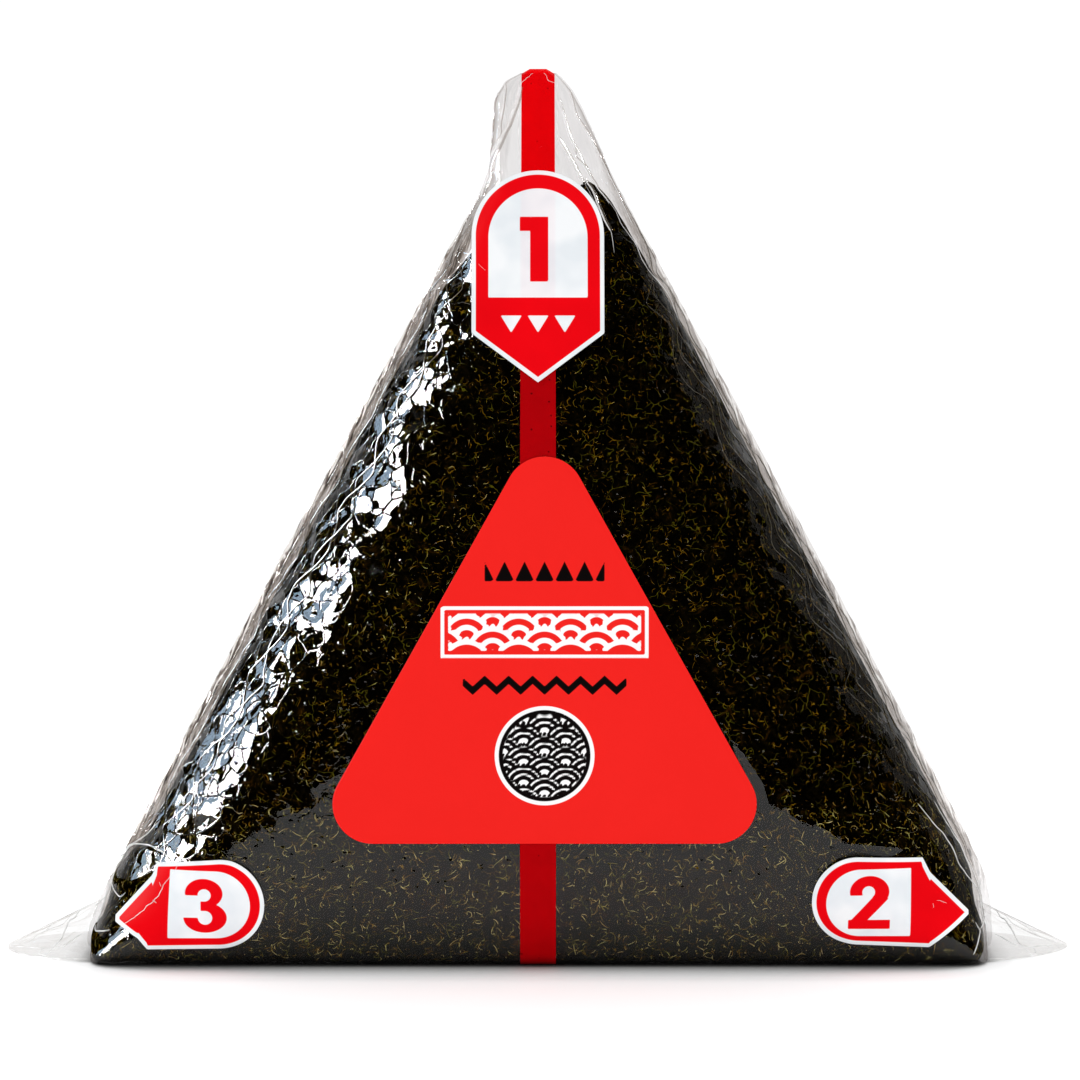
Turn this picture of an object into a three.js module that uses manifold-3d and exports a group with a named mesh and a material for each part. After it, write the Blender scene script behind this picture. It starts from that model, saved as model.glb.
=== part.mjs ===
// A wrapped onigiri: a triangular rice ball in nori, sealed in clear film that stands up as a
// flat peak above it and spreads into two tails at its foot. A tear strip runs right round the
// pack, three step labels and one large sticker lie on its front.
// Millimetres, +Z up. The front faces -Y and the pack stands on the plane z = 0.

import * as THREE from 'three';
import { mergeVertices } from 'three/addons/utils/BufferGeometryUtils.js';
import Module from 'manifold-3d';

const wasm = await Module();
wasm.setup();

// ---- Driving dimensions -------------------------------------------------------------------

// The film's edge seen from the front, as [x, z] from the foot to the peak.
const filmLeft = [[-48.8, 0], [-12.0, 67.6], [-5.4, 79.8], [-4.9, 84], [-4.5, 88.3], [-3.4, 90.2], [-1.9, 91]];
const filmRight = [[51.0, 0], [14.4, 67.6], [7.9, 80], [5.3, 86], [3.6, 89.2], [2.7, 90.3], [1.9, 91]];
const filmTop = 91.0;
const filmFoot = 3.0;            // height where the side seams run out into the tails
const seamThickness = 0.7;       // the two layers of film pressed together at the side seams

// The filled body, a little inside the film's edge.
const seamWidth = 0.9;           // free film beyond the rice ball along the slanted sides
const peakSeamWidth = 0.45;      // and up at the peak
const shoulderHeight = 54;       // the change from one to the other starts here
const shoulderEnd = 76;
const cornerReach = 46.3;        // how far the blunt bottom corners reach from the middle
const cornerSoftness = 1.0;
const bellyHalfDepth = 16.2;     // half the depth where the pack is thickest
const bellyHeight = 24;
const bodyTop = 90.6;
const taperTop = 91.4;           // where the front and the back would meet
const upperTaper = 2.6;          // power of the curve from the belly to the peak
const lowerTaper = 4;            // power of the curve from the belly down to the base
const baseInset = 0.27;          // share of the half depth lost between belly and base
const baseRadius = 1.2;          // rounding round the flat base
const sideFullness = 4;          // superellipse power of a level section, mid height
const peakFullness = 3;          // added to it at the peak
const baseFullness = 5;          // added to it at the base, which is nearly a rectangle
const baseFullnessHeight = 6;

// The tails of film at the two bottom corners.
const tailRoot = 40.5;           // from the middle, inside the body
const tailTip = 55.5;
const tailRootHeight = 6.2;
const tailRootHalfDepth = 11;
const tailTipHeight = 0.5;
const tailTipHalfDepth = 0.4;
const tailSag = 0.45;            // height of a tail's slopes half way out, as a share of its ridge
const tailClearance = 0.15;      // the tails hover this far above the table
const leftTailRoundness = 2.6;   // power of the tail's plan outline: higher is blunter
const rightTailRoundness = 1.7;

// The tear strip, a closed band in the plane x = 0.
const stripWidth = 3.6;
const stripGap = 0.2;
const stripThickness = 0.25;
const stripTopHalfDepth = 0.45;
const stripFloorGap = 0.1;       // its run under the base stays above the table
const grooveWidth = 4.6;         // the shallow fold in the base that takes it
const grooveDepth = 0.6;

// The labels and the sticker lie over the strip.
const labelGap = 0.65;
const labelThickness = 0.3;
const labelWrap = 0.95;                // a stiff label bends a little less than the film

const stickerApex = [0.66, 56.3];      // the three corners before rounding
const stickerHalfBase = 24.1;
const stickerBaseHeight = 13.3;
const stickerCornerRadius = 4.0;

const label1HalfWidth = 6.68;
const label1Top = 80.8;
const label1Shoulder = 64.4;
const label1Point = 59.5;

const stepHalfHeight = 4.75;
const stepCentreHeight = 6.75;
const stepRoundEnd = 27.6;             // distance of the round end from the middle
const stepShoulder = 39.0;
const stepTip = 43.1;
const stepTipHalfHeight = 0.7;

// ---- Shape of the pack --------------------------------------------------------------------

// Linear interpolation of x along a list of [x, z] that climbs in z.
function alongEdge(edge, z) {
  let i = 0;
  while (i < edge.length - 2 && edge[i + 1][1] < z) {
    i += 1;
  }
  const [x0, z0] = edge[i];
  const [x1, z1] = edge[i + 1];
  return x0 + ((x1 - x0) * (z - z0)) / (z1 - z0);
}

// A smooth minimum: value while it is small, limit once it is large.
function softLimit(value, limit, softness) {
  return limit - softness * Math.log(1 + Math.exp((limit - value) / softness));
}

// 0 on the wide lower pack, 1 at the narrow top.
function shoulder(z) {
  return THREE.MathUtils.smoothstep(z, shoulderHeight, shoulderEnd);
}

// How far the filled body reaches left and right of x = 0 at a height.
function bodyEdges(z) {
  const seam = THREE.MathUtils.lerp(seamWidth, peakSeamWidth, shoulder(z));
  const left = -softLimit(-alongEdge(filmLeft, z) - seam, cornerReach, cornerSoftness);
  const right = softLimit(alongEdge(filmRight, z) - seam, cornerReach, cornerSoftness);
  return { left, right };
}

// Half the depth of the pack on its middle line: one power curve above the belly, one below.
function halfDepth(z) {
  if (z > bellyHeight) {
    const rise = (z - bellyHeight) / (taperTop - bellyHeight);
    return bellyHalfDepth * (1 - rise ** upperTaper);
  }
  const drop = (bellyHeight - z) / bellyHeight;
  return bellyHalfDepth * (1 - baseInset * drop ** lowerTaper);
}

function fullness(z) {
  return sideFullness + peakFullness * shoulder(z) + baseFullness * Math.exp(-z / baseFullnessHeight);
}

// Depth of the front surface at (x, z), as a positive distance in front of y = 0.
function frontDepth(x, z) {
  const { left, right } = bodyEdges(z);
  const across = Math.abs((2 * x - left - right) / (right - left));
  return halfDepth(z) * Math.sqrt(Math.max(0, 1 - across ** fullness(z)));
}

// ---- Small mesh helpers -------------------------------------------------------------------

function geometryFrom(positions, triangles) {
  const geometry = new THREE.BufferGeometry();
  geometry.setAttribute('position', new THREE.Float32BufferAttribute(positions, 3));
  geometry.setIndex(triangles);
  return geometry;
}

// Two triangles between each pair of neighbours in rings of points with the same count.
function ringTriangles(rings, count, closed) {
  const triangles = [];
  const spans = closed ? rings : rings - 1;
  for (let r = 0; r < spans; r += 1) {
    const here = r * count;
    const there = ((r + 1) % rings) * count;
    for (let k = 0; k < count; k += 1) {
      const next = (k + 1) % count;
      triangles.push(here + k, here + next, there + next);
      triangles.push(here + k, there + next, there + k);
    }
  }
  return triangles;
}

// A closed solid through rings of points, with flat fans at both ends.
function loft(rings) {
  const count = rings[0].length;
  const triangles = ringTriangles(rings.length, count, false);
  const last = (rings.length - 1) * count;
  for (let k = 1; k < count - 1; k += 1) {
    triangles.push(0, k + 1, k);
    triangles.push(last, last + k, last + k + 1);
  }
  return geometryFrom(rings.flat(2), triangles);
}

function solid(geometry) {
  const bare = geometry.clone();
  bare.deleteAttribute('normal');
  bare.deleteAttribute('uv');
  const merged = mergeVertices(bare, 1e-4);
  const vertProperties = new Float32Array(merged.attributes.position.array);
  const triVerts = new Uint32Array(merged.index.array);
  return new wasm.Manifold(new wasm.Mesh({ numProp: 3, vertProperties, triVerts }));
}

function geometryOf(manifold) {
  const { vertProperties, triVerts } = manifold.getMesh();
  return geometryFrom(Array.from(vertProperties), Array.from(triVerts));
}

function part(name, geometry, colour, roughness) {
  const material = new THREE.MeshStandardMaterial({ color: colour, roughness, metalness: 0 });
  geometry.computeVertexNormals();
  const mesh = new THREE.Mesh(geometry, material);
  mesh.name = name;
  return mesh;
}

// ---- The film pack ------------------------------------------------------------------------

// The filled body: level superellipse sections from the rounded base up to the peak.
function filledBody() {
  const levels = 36;
  const around = 56;
  const heights = [];
  for (const angle of [0, 30, 60]) {
    const turn = THREE.MathUtils.degToRad(angle);
    heights.push([baseRadius * (1 - Math.cos(turn)), baseRadius * (1 - Math.sin(turn))]);
  }
  for (let i = 0; i <= levels; i += 1) {
    heights.push([THREE.MathUtils.lerp(baseRadius, bodyTop, i / levels), 0]);
  }
  const rings = heights.map(([z, inset]) => {
    const { left, right } = bodyEdges(z);
    const reach = (right - left) / 2 - inset;
    const depth = halfDepth(z) - inset;
    const power = 2 / fullness(z);
    const ring = [];
    for (let k = 0; k < around; k += 1) {
      const turn = (2 * Math.PI * k) / around;
      const across = Math.sign(Math.cos(turn)) * Math.abs(Math.cos(turn)) ** power;
      ring.push([(left + right) / 2 + reach * across, depth * Math.sin(turn), z]);
    }
    return ring;
  });
  return loft(rings);
}

// The pressed film seam: the pack's front outline as a thin upright plate.
function seamPlate() {
  const outline = new THREE.Shape();
  const foot = (edge) => [alongEdge(edge, filmFoot), filmFoot];
  const right = [foot(filmRight), ...filmRight.slice(1)];
  const left = [foot(filmLeft), ...filmLeft.slice(1)].reverse();
  outline.setFromPoints([...right, ...left].map(([x, z]) => new THREE.Vector2(x, z)));
  const plate = new THREE.ExtrudeGeometry(outline, { depth: seamThickness, bevelEnabled: false });
  plate.rotateX(Math.PI / 2);
  plate.translate(0, seamThickness / 2, 0);
  return plate;
}

// One tail: a low tent of film that narrows from the body's corner to its tip.
function tail(side, roundness) {
  const stations = 8;
  const rings = [];
  for (let i = 0; i <= stations; i += 1) {
    const run = i / stations;
    const depth = Math.max(tailTipHalfDepth, tailRootHalfDepth * (1 - run ** roundness) ** (1 / roundness));
    const ridge = THREE.MathUtils.lerp(tailRootHeight, tailTipHeight, run);
    const sagging = tailClearance + (ridge - tailClearance) * tailSag;
    const x = side * THREE.MathUtils.lerp(tailRoot, tailTip, run);
    const section = [[-depth, tailClearance], [-depth / 2, sagging], [0, ridge]];
    section.push([depth / 2, sagging], [depth, tailClearance]);
    rings.push((side > 0 ? section.reverse() : section).map(([y, z]) => [x, y, z]));
  }
  return loft(rings);
}

// A box through the whole depth, half of it below the base.
function stripGroove() {
  return new THREE.BoxGeometry(grooveWidth, 4 * bellyHalfDepth, 2 * grooveDepth);
}

function filmPack() {
  let pack = solid(filledBody());
  pack = pack.add(solid(seamPlate()));
  pack = pack.add(solid(tail(-1, leftTailRoundness)));
  pack = pack.add(solid(tail(1, rightTailRoundness)));
  pack = pack.subtract(solid(stripGroove()));
  return geometryOf(pack);
}

// ---- The tear strip -----------------------------------------------------------------------

// The strip's path in the plane x = 0 at a distance from the pack, as [y, z] round the loop.
function stripLoop(distance, floor, top) {
  const steps = 40;
  const front = [];
  for (let i = 0; i <= steps; i += 1) {
    const z = THREE.MathUtils.lerp(floor, bodyTop, i / steps);
    front.push([-(frontDepth(0, z) + distance), z]);
  }
  front.push([-stripTopHalfDepth, top]);
  const back = front.map(([y, z]) => [-y, z]).reverse();
  return [...front, ...back];
}

function tearStrip() {
  const outer = stripGap + stripThickness;
  const outside = stripLoop(outer, stripFloorGap, filmTop + outer);
  const inside = stripLoop(stripGap, stripFloorGap + stripThickness, filmTop + stripGap);
  const half = stripWidth / 2;
  const rings = outside.map(([y, z], i) => {
    const [yIn, zIn] = inside[i];
    return [[-half, y, z], [half, y, z], [half, yIn, zIn], [-half, yIn, zIn]];
  });
  return geometryFrom(rings.flat(2), ringTriangles(rings.length, 4, true));
}

// ---- Labels and sticker -------------------------------------------------------------------

// Where a label's back lies: over the film, on its slightly flatter curve.
function labelDepth(x, z) {
  const { left, right } = bodyEdges(z);
  const middle = (left + right) / 2;
  return frontDepth(middle + (x - middle) * labelWrap, z) + labelGap;
}

// A thin skin over the pack's front: outline(t) gives the two [x, z] ends of each chord.
function skin(outline, chords, columns) {
  const rings = [];
  for (let i = 0; i <= chords; i += 1) {
    const [from, to] = outline(i / chords);
    const front = [];
    const back = [];
    for (let k = 0; k <= columns; k += 1) {
      const x = THREE.MathUtils.lerp(from[0], to[0], k / columns);
      const z = THREE.MathUtils.lerp(from[1], to[1], k / columns);
      const depth = labelDepth(x, z);
      front.push([x, -depth - labelThickness, z]);
      back.push([x, -depth, z]);
    }
    rings.push([...front, ...back.reverse()]);
  }
  return rings;
}

// The skin's rings closed into a solid, with quads instead of fans at the two end chords.
function skinSolid(outline, chords, columns) {
  const rings = skin(outline, chords, columns);
  const count = rings[0].length;
  const triangles = ringTriangles(rings.length, count, false);
  const last = chords * count;
  for (let k = 0; k < columns; k += 1) {
    const [a, b, c, d] = [k, k + 1, count - 2 - k, count - 1 - k];
    triangles.push(a, c, b, a, d, c);
    triangles.push(last + a, last + b, last + c, last + a, last + c, last + d);
  }
  return geometryFrom(rings.flat(2), triangles);
}

// Chords are spaced by a cosine so that they crowd where an outline is round.
function eased(t) {
  return (1 - Math.cos(Math.PI * t)) / 2;
}

const smallestChord = 0.25;

// Rounded triangle, cut in level chords from its base up.
function stickerOutline(t) {
  const [middle, apexHeight] = stickerApex;
  const slope = stickerHalfBase / (apexHeight - stickerBaseHeight);
  const lean = Math.atan(slope);
  const radius = stickerCornerRadius;
  const cornerX = stickerHalfBase - radius * Math.tan((Math.PI / 2 + lean) / 2);
  const apexZ = apexHeight - radius / Math.sin(lean);
  const z = THREE.MathUtils.lerp(stickerBaseHeight, apexZ + radius, eased(t));
  const footRise = z - stickerBaseHeight - radius;
  let half = (apexHeight - z) * slope;
  if (footRise < radius * Math.sin(lean)) {
    half = cornerX + Math.sqrt(Math.max(0, radius ** 2 - footRise ** 2));
  } else if (z > apexZ + radius * Math.sin(lean)) {
    half = Math.sqrt(Math.max(0, radius ** 2 - (z - apexZ) ** 2));
  }
  half = Math.max(half, smallestChord);
  return [[middle - half, z], [middle + half, z]];
}

// Round-topped tag with a point at its foot, cut in level chords.
function label1Outline(t) {
  const z = THREE.MathUtils.lerp(label1Point, label1Top, eased(t));
  const archCentre = label1Top - label1HalfWidth;
  let half = label1HalfWidth;
  if (z < label1Shoulder) {
    half *= (z - label1Point) / (label1Shoulder - label1Point);
  } else if (z > archCentre) {
    half = Math.sqrt(Math.max(0, label1HalfWidth ** 2 - (z - archCentre) ** 2));
  }
  half = Math.max(half, smallestChord);
  return [[-half, z], [half, z]];
}

// Lying tag with a round inner end and a blunt point outwards, cut in upright chords.
function stepOutline(side, t) {
  const reach = THREE.MathUtils.lerp(stepRoundEnd, stepTip, eased(t));
  const arcCentre = stepRoundEnd + stepHalfHeight;
  let half = stepHalfHeight;
  if (reach < arcCentre) {
    half = Math.sqrt(Math.max(0, stepHalfHeight ** 2 - (arcCentre - reach) ** 2));
  } else if (reach > stepShoulder) {
    half = THREE.MathUtils.mapLinear(reach, stepShoulder, stepTip, stepHalfHeight, stepTipHalfHeight);
  }
  half = Math.max(half, smallestChord);
  const ends = [[side * reach, stepCentreHeight + half], [side * reach, stepCentreHeight - half]];
  return side > 0 ? ends : ends.reverse();
}

// ---- Assembly -----------------------------------------------------------------------------

const group = new THREE.Group();
group.add(part('film_pack', filmPack(), 0x1c1e15, 0.2));
group.add(part('tear_strip', tearStrip(), 0xdf0613, 0.3));
group.add(part('front_sticker', skinSolid(stickerOutline, 22, 12), 0xf32422, 0.35));
group.add(part('step_label_1', skinSolid(label1Outline, 18, 6), 0xe8000f, 0.3));
group.add(part('step_label_2', skinSolid((t) => stepOutline(1, t), 14, 6), 0xe8000f, 0.3));
group.add(part('step_label_3', skinSolid((t) => stepOutline(-1, t), 14, 6), 0xe8000f, 0.3));

export default group;
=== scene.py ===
# %% [markdown]
# # A wrapped onigiri
#
# A shop onigiri is a triangular rice ball in a sheet of nori, kept crisp inside a clear film
# wrapper. A red tear strip runs right round the wrapper, three numbered labels show the
# order of opening, and a large sticker sits on the front.
#
# The lesson builds it from the inside out: the nori, its strands, the film with its folds,
# the strip, the labels, and then the studio. The CAD model gives the frame, and every
# surface here is a formula worked out with numpy from the same few sizes.

import bmesh
import bpy
import numpy as np
from mathutils import Matrix, Vector


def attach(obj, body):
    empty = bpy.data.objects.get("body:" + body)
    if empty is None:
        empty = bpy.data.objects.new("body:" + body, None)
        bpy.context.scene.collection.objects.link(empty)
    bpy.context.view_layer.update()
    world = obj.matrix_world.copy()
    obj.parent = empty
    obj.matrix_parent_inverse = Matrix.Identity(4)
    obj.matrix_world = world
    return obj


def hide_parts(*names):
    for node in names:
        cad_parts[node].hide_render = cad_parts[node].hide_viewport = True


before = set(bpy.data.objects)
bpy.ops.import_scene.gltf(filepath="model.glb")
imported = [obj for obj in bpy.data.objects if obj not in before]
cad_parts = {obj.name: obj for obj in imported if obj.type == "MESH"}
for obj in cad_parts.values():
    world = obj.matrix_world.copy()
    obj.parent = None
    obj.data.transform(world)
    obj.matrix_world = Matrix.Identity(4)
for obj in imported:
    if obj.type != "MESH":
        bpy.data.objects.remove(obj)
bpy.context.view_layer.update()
print("CAD nodes:", sorted(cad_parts))

# %% [markdown]
# ## Units and grids
#
# Blender works in metres, but a snack is easier to think about in millimetres. All the
# arrays below are in millimetres, and one function turns a grid of points into a mesh in
# metres. A grid can be closed on itself across its columns, as the skin of a solid is.

# %% Grid helpers
MM = 0.001


def grid_faces(rows, columns, closed=False, flip=False):
    """Corner numbers of the quads between neighbouring points of a grid, row by row."""
    index = np.arange(rows * columns).reshape(rows, columns)
    if closed:
        index = np.concatenate([index, index[:, :1]], axis=1)
    corners = [index[:-1, :-1], index[:-1, 1:], index[1:, 1:], index[1:, :-1]]
    return np.stack(corners[::-1] if flip else corners, axis=-1).reshape(-1, 4)


def new_mesh(name, points, faces, **attributes):
    """A mesh object from points in mm, rows of corner numbers, and one value a point for each name."""
    mesh = bpy.data.meshes.new(name)
    points = np.asarray(points, dtype=np.float64).reshape(-1, 3) * MM
    mesh.vertices.add(len(points))
    mesh.vertices.foreach_set("co", points.ravel())
    mesh.loops.add(faces.size)
    mesh.loops.foreach_set("vertex_index", faces.ravel())
    mesh.polygons.add(len(faces))
    mesh.polygons.foreach_set("loop_start", np.arange(0, faces.size, faces.shape[1]))
    mesh.update(calc_edges=True)
    for attribute, values in attributes.items():
        layer = mesh.attributes.new(attribute, "FLOAT", "POINT")
        layer.data.foreach_set("value", np.ascontiguousarray(values, dtype=np.float32).ravel())
    mesh.validate()
    piece = bpy.data.objects.new(name, mesh)
    bpy.context.scene.collection.objects.link(piece)
    return piece


def weld(piece, turn_out=False, distance=0.002 * MM):
    """Join the points that fall together at poles and seams, and face a closed shell outwards."""
    work = bmesh.new()
    work.from_mesh(piece.data)
    bmesh.ops.remove_doubles(work, verts=work.verts, dist=distance)
    bmesh.ops.dissolve_degenerate(work, edges=work.edges, dist=distance / 4)
    if turn_out:
        bmesh.ops.recalc_face_normals(work, faces=work.faces)
    work.to_mesh(piece.data)
    work.free()
    return piece


def finish_piece(piece, material, slot, *replaced):
    """Smooth shading, a material, the root body it rides on and the CAD nodes it stands for. The slot is not
    used.
    """
    piece.data.polygons.foreach_set("use_smooth", np.ones(len(piece.data.polygons), bool))
    piece.data.materials.append(material)
    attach(piece, "root")
    if replaced:
        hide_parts(*replaced)
    print(f"{piece.name}: {len(piece.data.polygons)} faces")
    return piece


print("a 3 by 4 grid has", len(grid_faces(3, 4)), "faces, and closed", len(grid_faces(3, 4, closed=True)))

# %% [markdown]
# ## Noise
#
# Folds, dents and wrinkles need randomness that is smooth in space and the same on every
# run. Value noise gives that: random numbers sit on the corners of a cubic lattice, and a
# point takes the smooth blend of the eight corners round it.

# %% Value noise
LATTICE = 64


def noise(x, y, z, size, seed):
    """Smooth noise from -1 to 1: blends of seeded lattice values, with cells of a size in mm."""
    table = np.random.default_rng(seed).uniform(-1, 1, (LATTICE, LATTICE, LATTICE))
    cells = [np.asarray(part, float) / step for part, step in zip((x, y, z), np.broadcast_to(size, 3))]
    low = [np.floor(part).astype(int) for part in cells]
    blend = [part - base for part, base in zip(cells, low)]
    blend = [part * part * (3 - 2 * part) for part in blend]
    total = 0
    for corner in np.ndindex(2, 2, 2):
        place = tuple((base + step) % LATTICE for base, step in zip(low, corner))
        weight = 1
        for part, step in zip(blend, corner):
            weight = weight * (part if step else 1 - part)
        total = total + weight * table[place]
    return total


line = np.linspace(0, 60, 200)
sample = noise(line, 0, 0, 3.0, 1)
print(f"noise along a line: {sample.min():.2f} to {sample.max():.2f}")

# %% Steps, bells and folds


def step_up(value, low, high):
    """Smoothstep: 0 below low, 1 above high, and an S curve between."""
    t = np.clip((value - low) / (high - low), 0, 1)
    return t * t * (3 - 2 * t)


def bell(value, middle, width):
    """1 at the middle, falling away on both sides as a Gaussian."""
    return np.exp(-(((value - middle) / width) ** 2))


def triangle_wave(t):
    """Straight ramps up and down between 0 and 1, once for each whole number."""
    return 2 * np.abs(t - np.floor(t + 0.5))


def facets(u, v, size, seed):
    """Crumple from -1 to 1: random heights on a lattice of triangles, joined by flat faces."""
    table = np.random.default_rng(seed).uniform(-1, 1, (LATTICE, LATTICE))
    b = v / (0.866 * size)
    a = u / size - b / 2
    i, j = np.floor(a).astype(int), np.floor(b).astype(int)
    a, b = a - i, b - j
    corners = ((0, 0), (1, 0), (0, 1), (1, 1))
    h00, h10, h01, h11 = (table[(i + p) % LATTICE, (j + q) % LATTICE] for p, q in corners)
    low = h00 + a * (h10 - h00) + b * (h01 - h00)
    high = h11 + (1 - a) * (h01 - h11) + (1 - b) * (h10 - h11)
    return np.where(a + b < 1, low, high)


sample = facets(line, 0.3 * line, 3.0, 1)
print(f"facets along a line: {sample.min():.2f} to {sample.max():.2f}")

# %% [markdown]
# ## The shape of the pack
#
# Seen from the front the pack is a triangle with blunt bottom corners and a flat peak of
# film. Seen from the side it is deepest low down and runs to an edge at the top. At each
# height its level section is a superellipse, which is a rounded rectangle whose roundness
# is one number. The sizes follow the CAD model, in millimetres.

# %% Driving sizes
# The film's two edges seen from the front: x and height of the points where they bend.
FILM_LEFT = np.array([[-51.7, -5], [-12.2, 67.6], [-5.4, 79.8], [-4.9, 84],
                      [-4.5, 88.3], [-3.4, 90.2], [-1.9, 91]])
FILM_RIGHT = np.array([[54.0, -5], [14.7, 67.6], [7.9, 80], [5.3, 86],
                       [3.6, 89.2], [2.7, 90.3], [1.9, 91]])
FILM_TOP = 91.0
SEAM_WIDTH = 0.9
PEAK_SEAM_WIDTH = 0.45
SHOULDER = (54, 76)
CORNER_REACH = 46.3
BEYOND_THE_PACK = 60.0
BELLY_HALF_DEPTH = 16.2
BELLY_HEIGHT = 24
TAPER_TOP = 91.4
UPPER_TAPER = 2.6
LOWER_TAPER = 4
BASE_INSET = 0.27
SIDE_FULLNESS = 4
LOWER_FULLNESS = 3.2
SHOULDER_FULLNESS = 3
PEAK_FULLNESS = 9
BASE_FULLNESS = 110
BASE_FULLNESS_HEIGHT = 1.8
# The base edge: how high its turn begins, and how far it draws in.
EDGE_HEIGHT = 1.4
EDGE_TURN = 1.8

print(f"the film is {FILM_TOP} mm high, the body {2 * BELLY_HALF_DEPTH} mm deep")

# %% Edges and depth at a height


def along_edge(edge, z):
    """The film's edge at a height: straight runs between its points, softened over 2 mm."""
    offsets = np.array([-1.6, -0.8, 0, 0.8, 1.6])
    weights = np.array([1, 2, 2, 2, 1]) / 8
    soft = step_up(FILM_TOP - z, 0, 6)
    return sum(w * np.interp(z + o * soft, edge[:, 1], edge[:, 0]) for o, w in zip(offsets, weights))


def soft_limit(value, limit, softness=1.0):
    """A smooth minimum: the value while it is small, the limit once it is large."""
    return limit - softness * np.log1p(np.exp((limit - value) / softness))


def shoulder(z):
    """0 on the wide lower pack, 1 at the narrow top."""
    return step_up(z, *SHOULDER)


def film_edges(z, limit, inset=0.0):
    """Left and right edge of the film at a height, drawn in by an inset and by a limit."""
    left = -soft_limit(-along_edge(FILM_LEFT, z) - inset, limit)
    right = soft_limit(along_edge(FILM_RIGHT, z) - inset, limit)
    return left, right


def body_edges(z):
    """Left and right reach of the filled body: the film's edges less the free seam."""
    return film_edges(z, CORNER_REACH, SEAM_WIDTH + (PEAK_SEAM_WIDTH - SEAM_WIDTH) * shoulder(z))


def half_depth(z):
    """Half the depth: one power curve from the belly to the peak, another down to the base."""
    rise = np.clip((z - BELLY_HEIGHT) / (TAPER_TOP - BELLY_HEIGHT), 0, 1)
    drop = np.clip((BELLY_HEIGHT - z) / BELLY_HEIGHT, 0, 1)
    return BELLY_HALF_DEPTH * (1 - rise**UPPER_TAPER) * (1 - BASE_INSET * drop**LOWER_TAPER)


def fullness(z):
    """Power of the superellipse: high where the section is boxy, at the base and the peak."""
    flat = SHOULDER_FULLNESS * shoulder(z) + PEAK_FULLNESS * step_up(z, 78, 84)
    flat = flat + LOWER_FULLNESS * (1 - step_up(z, 14, 52))
    return SIDE_FULLNESS + flat + BASE_FULLNESS * np.exp(-z / BASE_FULLNESS_HEIGHT)


def front_depth(x, z, wrap=1.0):
    """How far the front surface stands before the middle plane at (x, z)."""
    left, right = body_edges(z)
    across = np.abs(2 * x - left - right) / (right - left) * wrap
    return half_depth(z) * np.sqrt(np.clip(1 - across ** fullness(z), 0, 1))


for height in (5.0, 24.0, 50.0, 75.0):
    left, right = body_edges(height)
    print(f"at {height} mm: {left:.1f} to {right:.1f} mm wide, {2 * half_depth(height):.1f} mm deep")

# %% [markdown]
# ## Points on the skin
#
# A skin is a grid. Its rows run from the peak down to the foot, round the base edge in a
# quarter ellipse, and inwards under the pack to a line. Its columns run across the pack.
# Displacements are laid along the normals of the smooth grid, so that a fold stands off the
# skin in whatever direction it faces.

# %% Grids on the skin
BASE_TURN_ROWS = 10
UNDER_ROWS = 24


def skin_rows(wall, under, top, foot, edge_height):
    """Each row's height, its share of the turn round the base edge, and of the way back in."""
    turn = np.linspace(0, np.pi / 2, BASE_TURN_ROWS + 1)[1:]
    z = np.concatenate([
        np.linspace(top, foot + edge_height, wall),
        foot + edge_height * (1 - np.sin(turn)),
        np.full(under, foot),
    ])
    turned = np.concatenate([np.zeros(wall), 1 - np.cos(turn), np.ones(under)])
    shut = np.concatenate([np.ones(wall + BASE_TURN_ROWS), np.linspace(1, 0, under + 1)[1:]])
    return z[:, None], turned[:, None], shut[:, None]


def grid_normals(points, outside):
    """Unit normals: the cross product of a grid's two directions, turned to the outside."""
    normal = np.cross(np.gradient(points, axis=0), np.gradient(points, axis=1))
    normal /= np.maximum(np.linalg.norm(normal, axis=2, keepdims=True), 1e-9)
    return normal * np.sign(np.sum(normal * outside))


def read_grid(grid, row, column, closed=False):
    """Bilinear reading of a grid at fractional rows and columns, wrapped if it is closed."""
    rows, columns = grid.shape[:2]
    row = np.clip(row, 0, rows - 1.001)
    if not closed:
        column = np.clip(column, 0, columns - 1.001)
    r0, c0 = row.astype(int), np.floor(column).astype(int)
    fr, fc = (row - r0)[..., None], (column - c0)[..., None]
    c0, c1 = c0 % columns, (c0 + 1) % columns
    upper = grid[r0, c0] * (1 - fc) + grid[r0, c1] * fc
    lower = grid[r0 + 1, c0] * (1 - fc) + grid[r0 + 1, c1] * fc
    return upper * (1 - fr) + lower * fr


print("rows down a coarse skin:", *skin_rows(4, 2, FILM_TOP, 0, EDGE_HEIGHT)[0].round(1).ravel())

# %% [markdown]
# ## The rice ball in nori
#
# Nori is dried laver, pressed like paper. It follows the rice with soft dents, and the film
# is drawn so tight that it takes on the same dents, so both use one relief. Under the peak
# of film the rice ball closes with a rounded edge, lower on the left than on the right.

# %% Nori surface
NORI_TOP = 80.3
NORI_ROUNDING = 7.5
NORI_FOOT = 0.3
NORI_EDGE_HEIGHT = 1.1
NORI_EDGE_TURN = 1.6
NORI_INSET = 0.14
NORI_SLANT = 2.6
SIDE_CROWDING = 1.6
# Height and size in mm of the dents of the rice, and the seed of each layer.
RICE_DENTS = ((0.085, 4.5, 11), (0.045, 1.8, 12), (0.018, 0.8, 13))
# How far inside the film's edge the nori ends, and its outline at the two lower corners.
SEAM_LEFT, SEAM_RIGHT = 1.55, 1.25
FOOT_HEIGHTS = [0.3, 1.2, 2.4, 3.3, 5.2, 8.1, 12.0]
FOOT_LEFT = [46.1, 46.3, 46.35, 45.5, 44.8, 44.2, 42.0]
FOOT_RIGHT = [45.8, 46.1, 46.2, 46.1, 45.5, 45.1, 43.3]

print("nori from", NORI_FOOT, "to", NORI_TOP, "mm")

# %% Points of the nori


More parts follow.
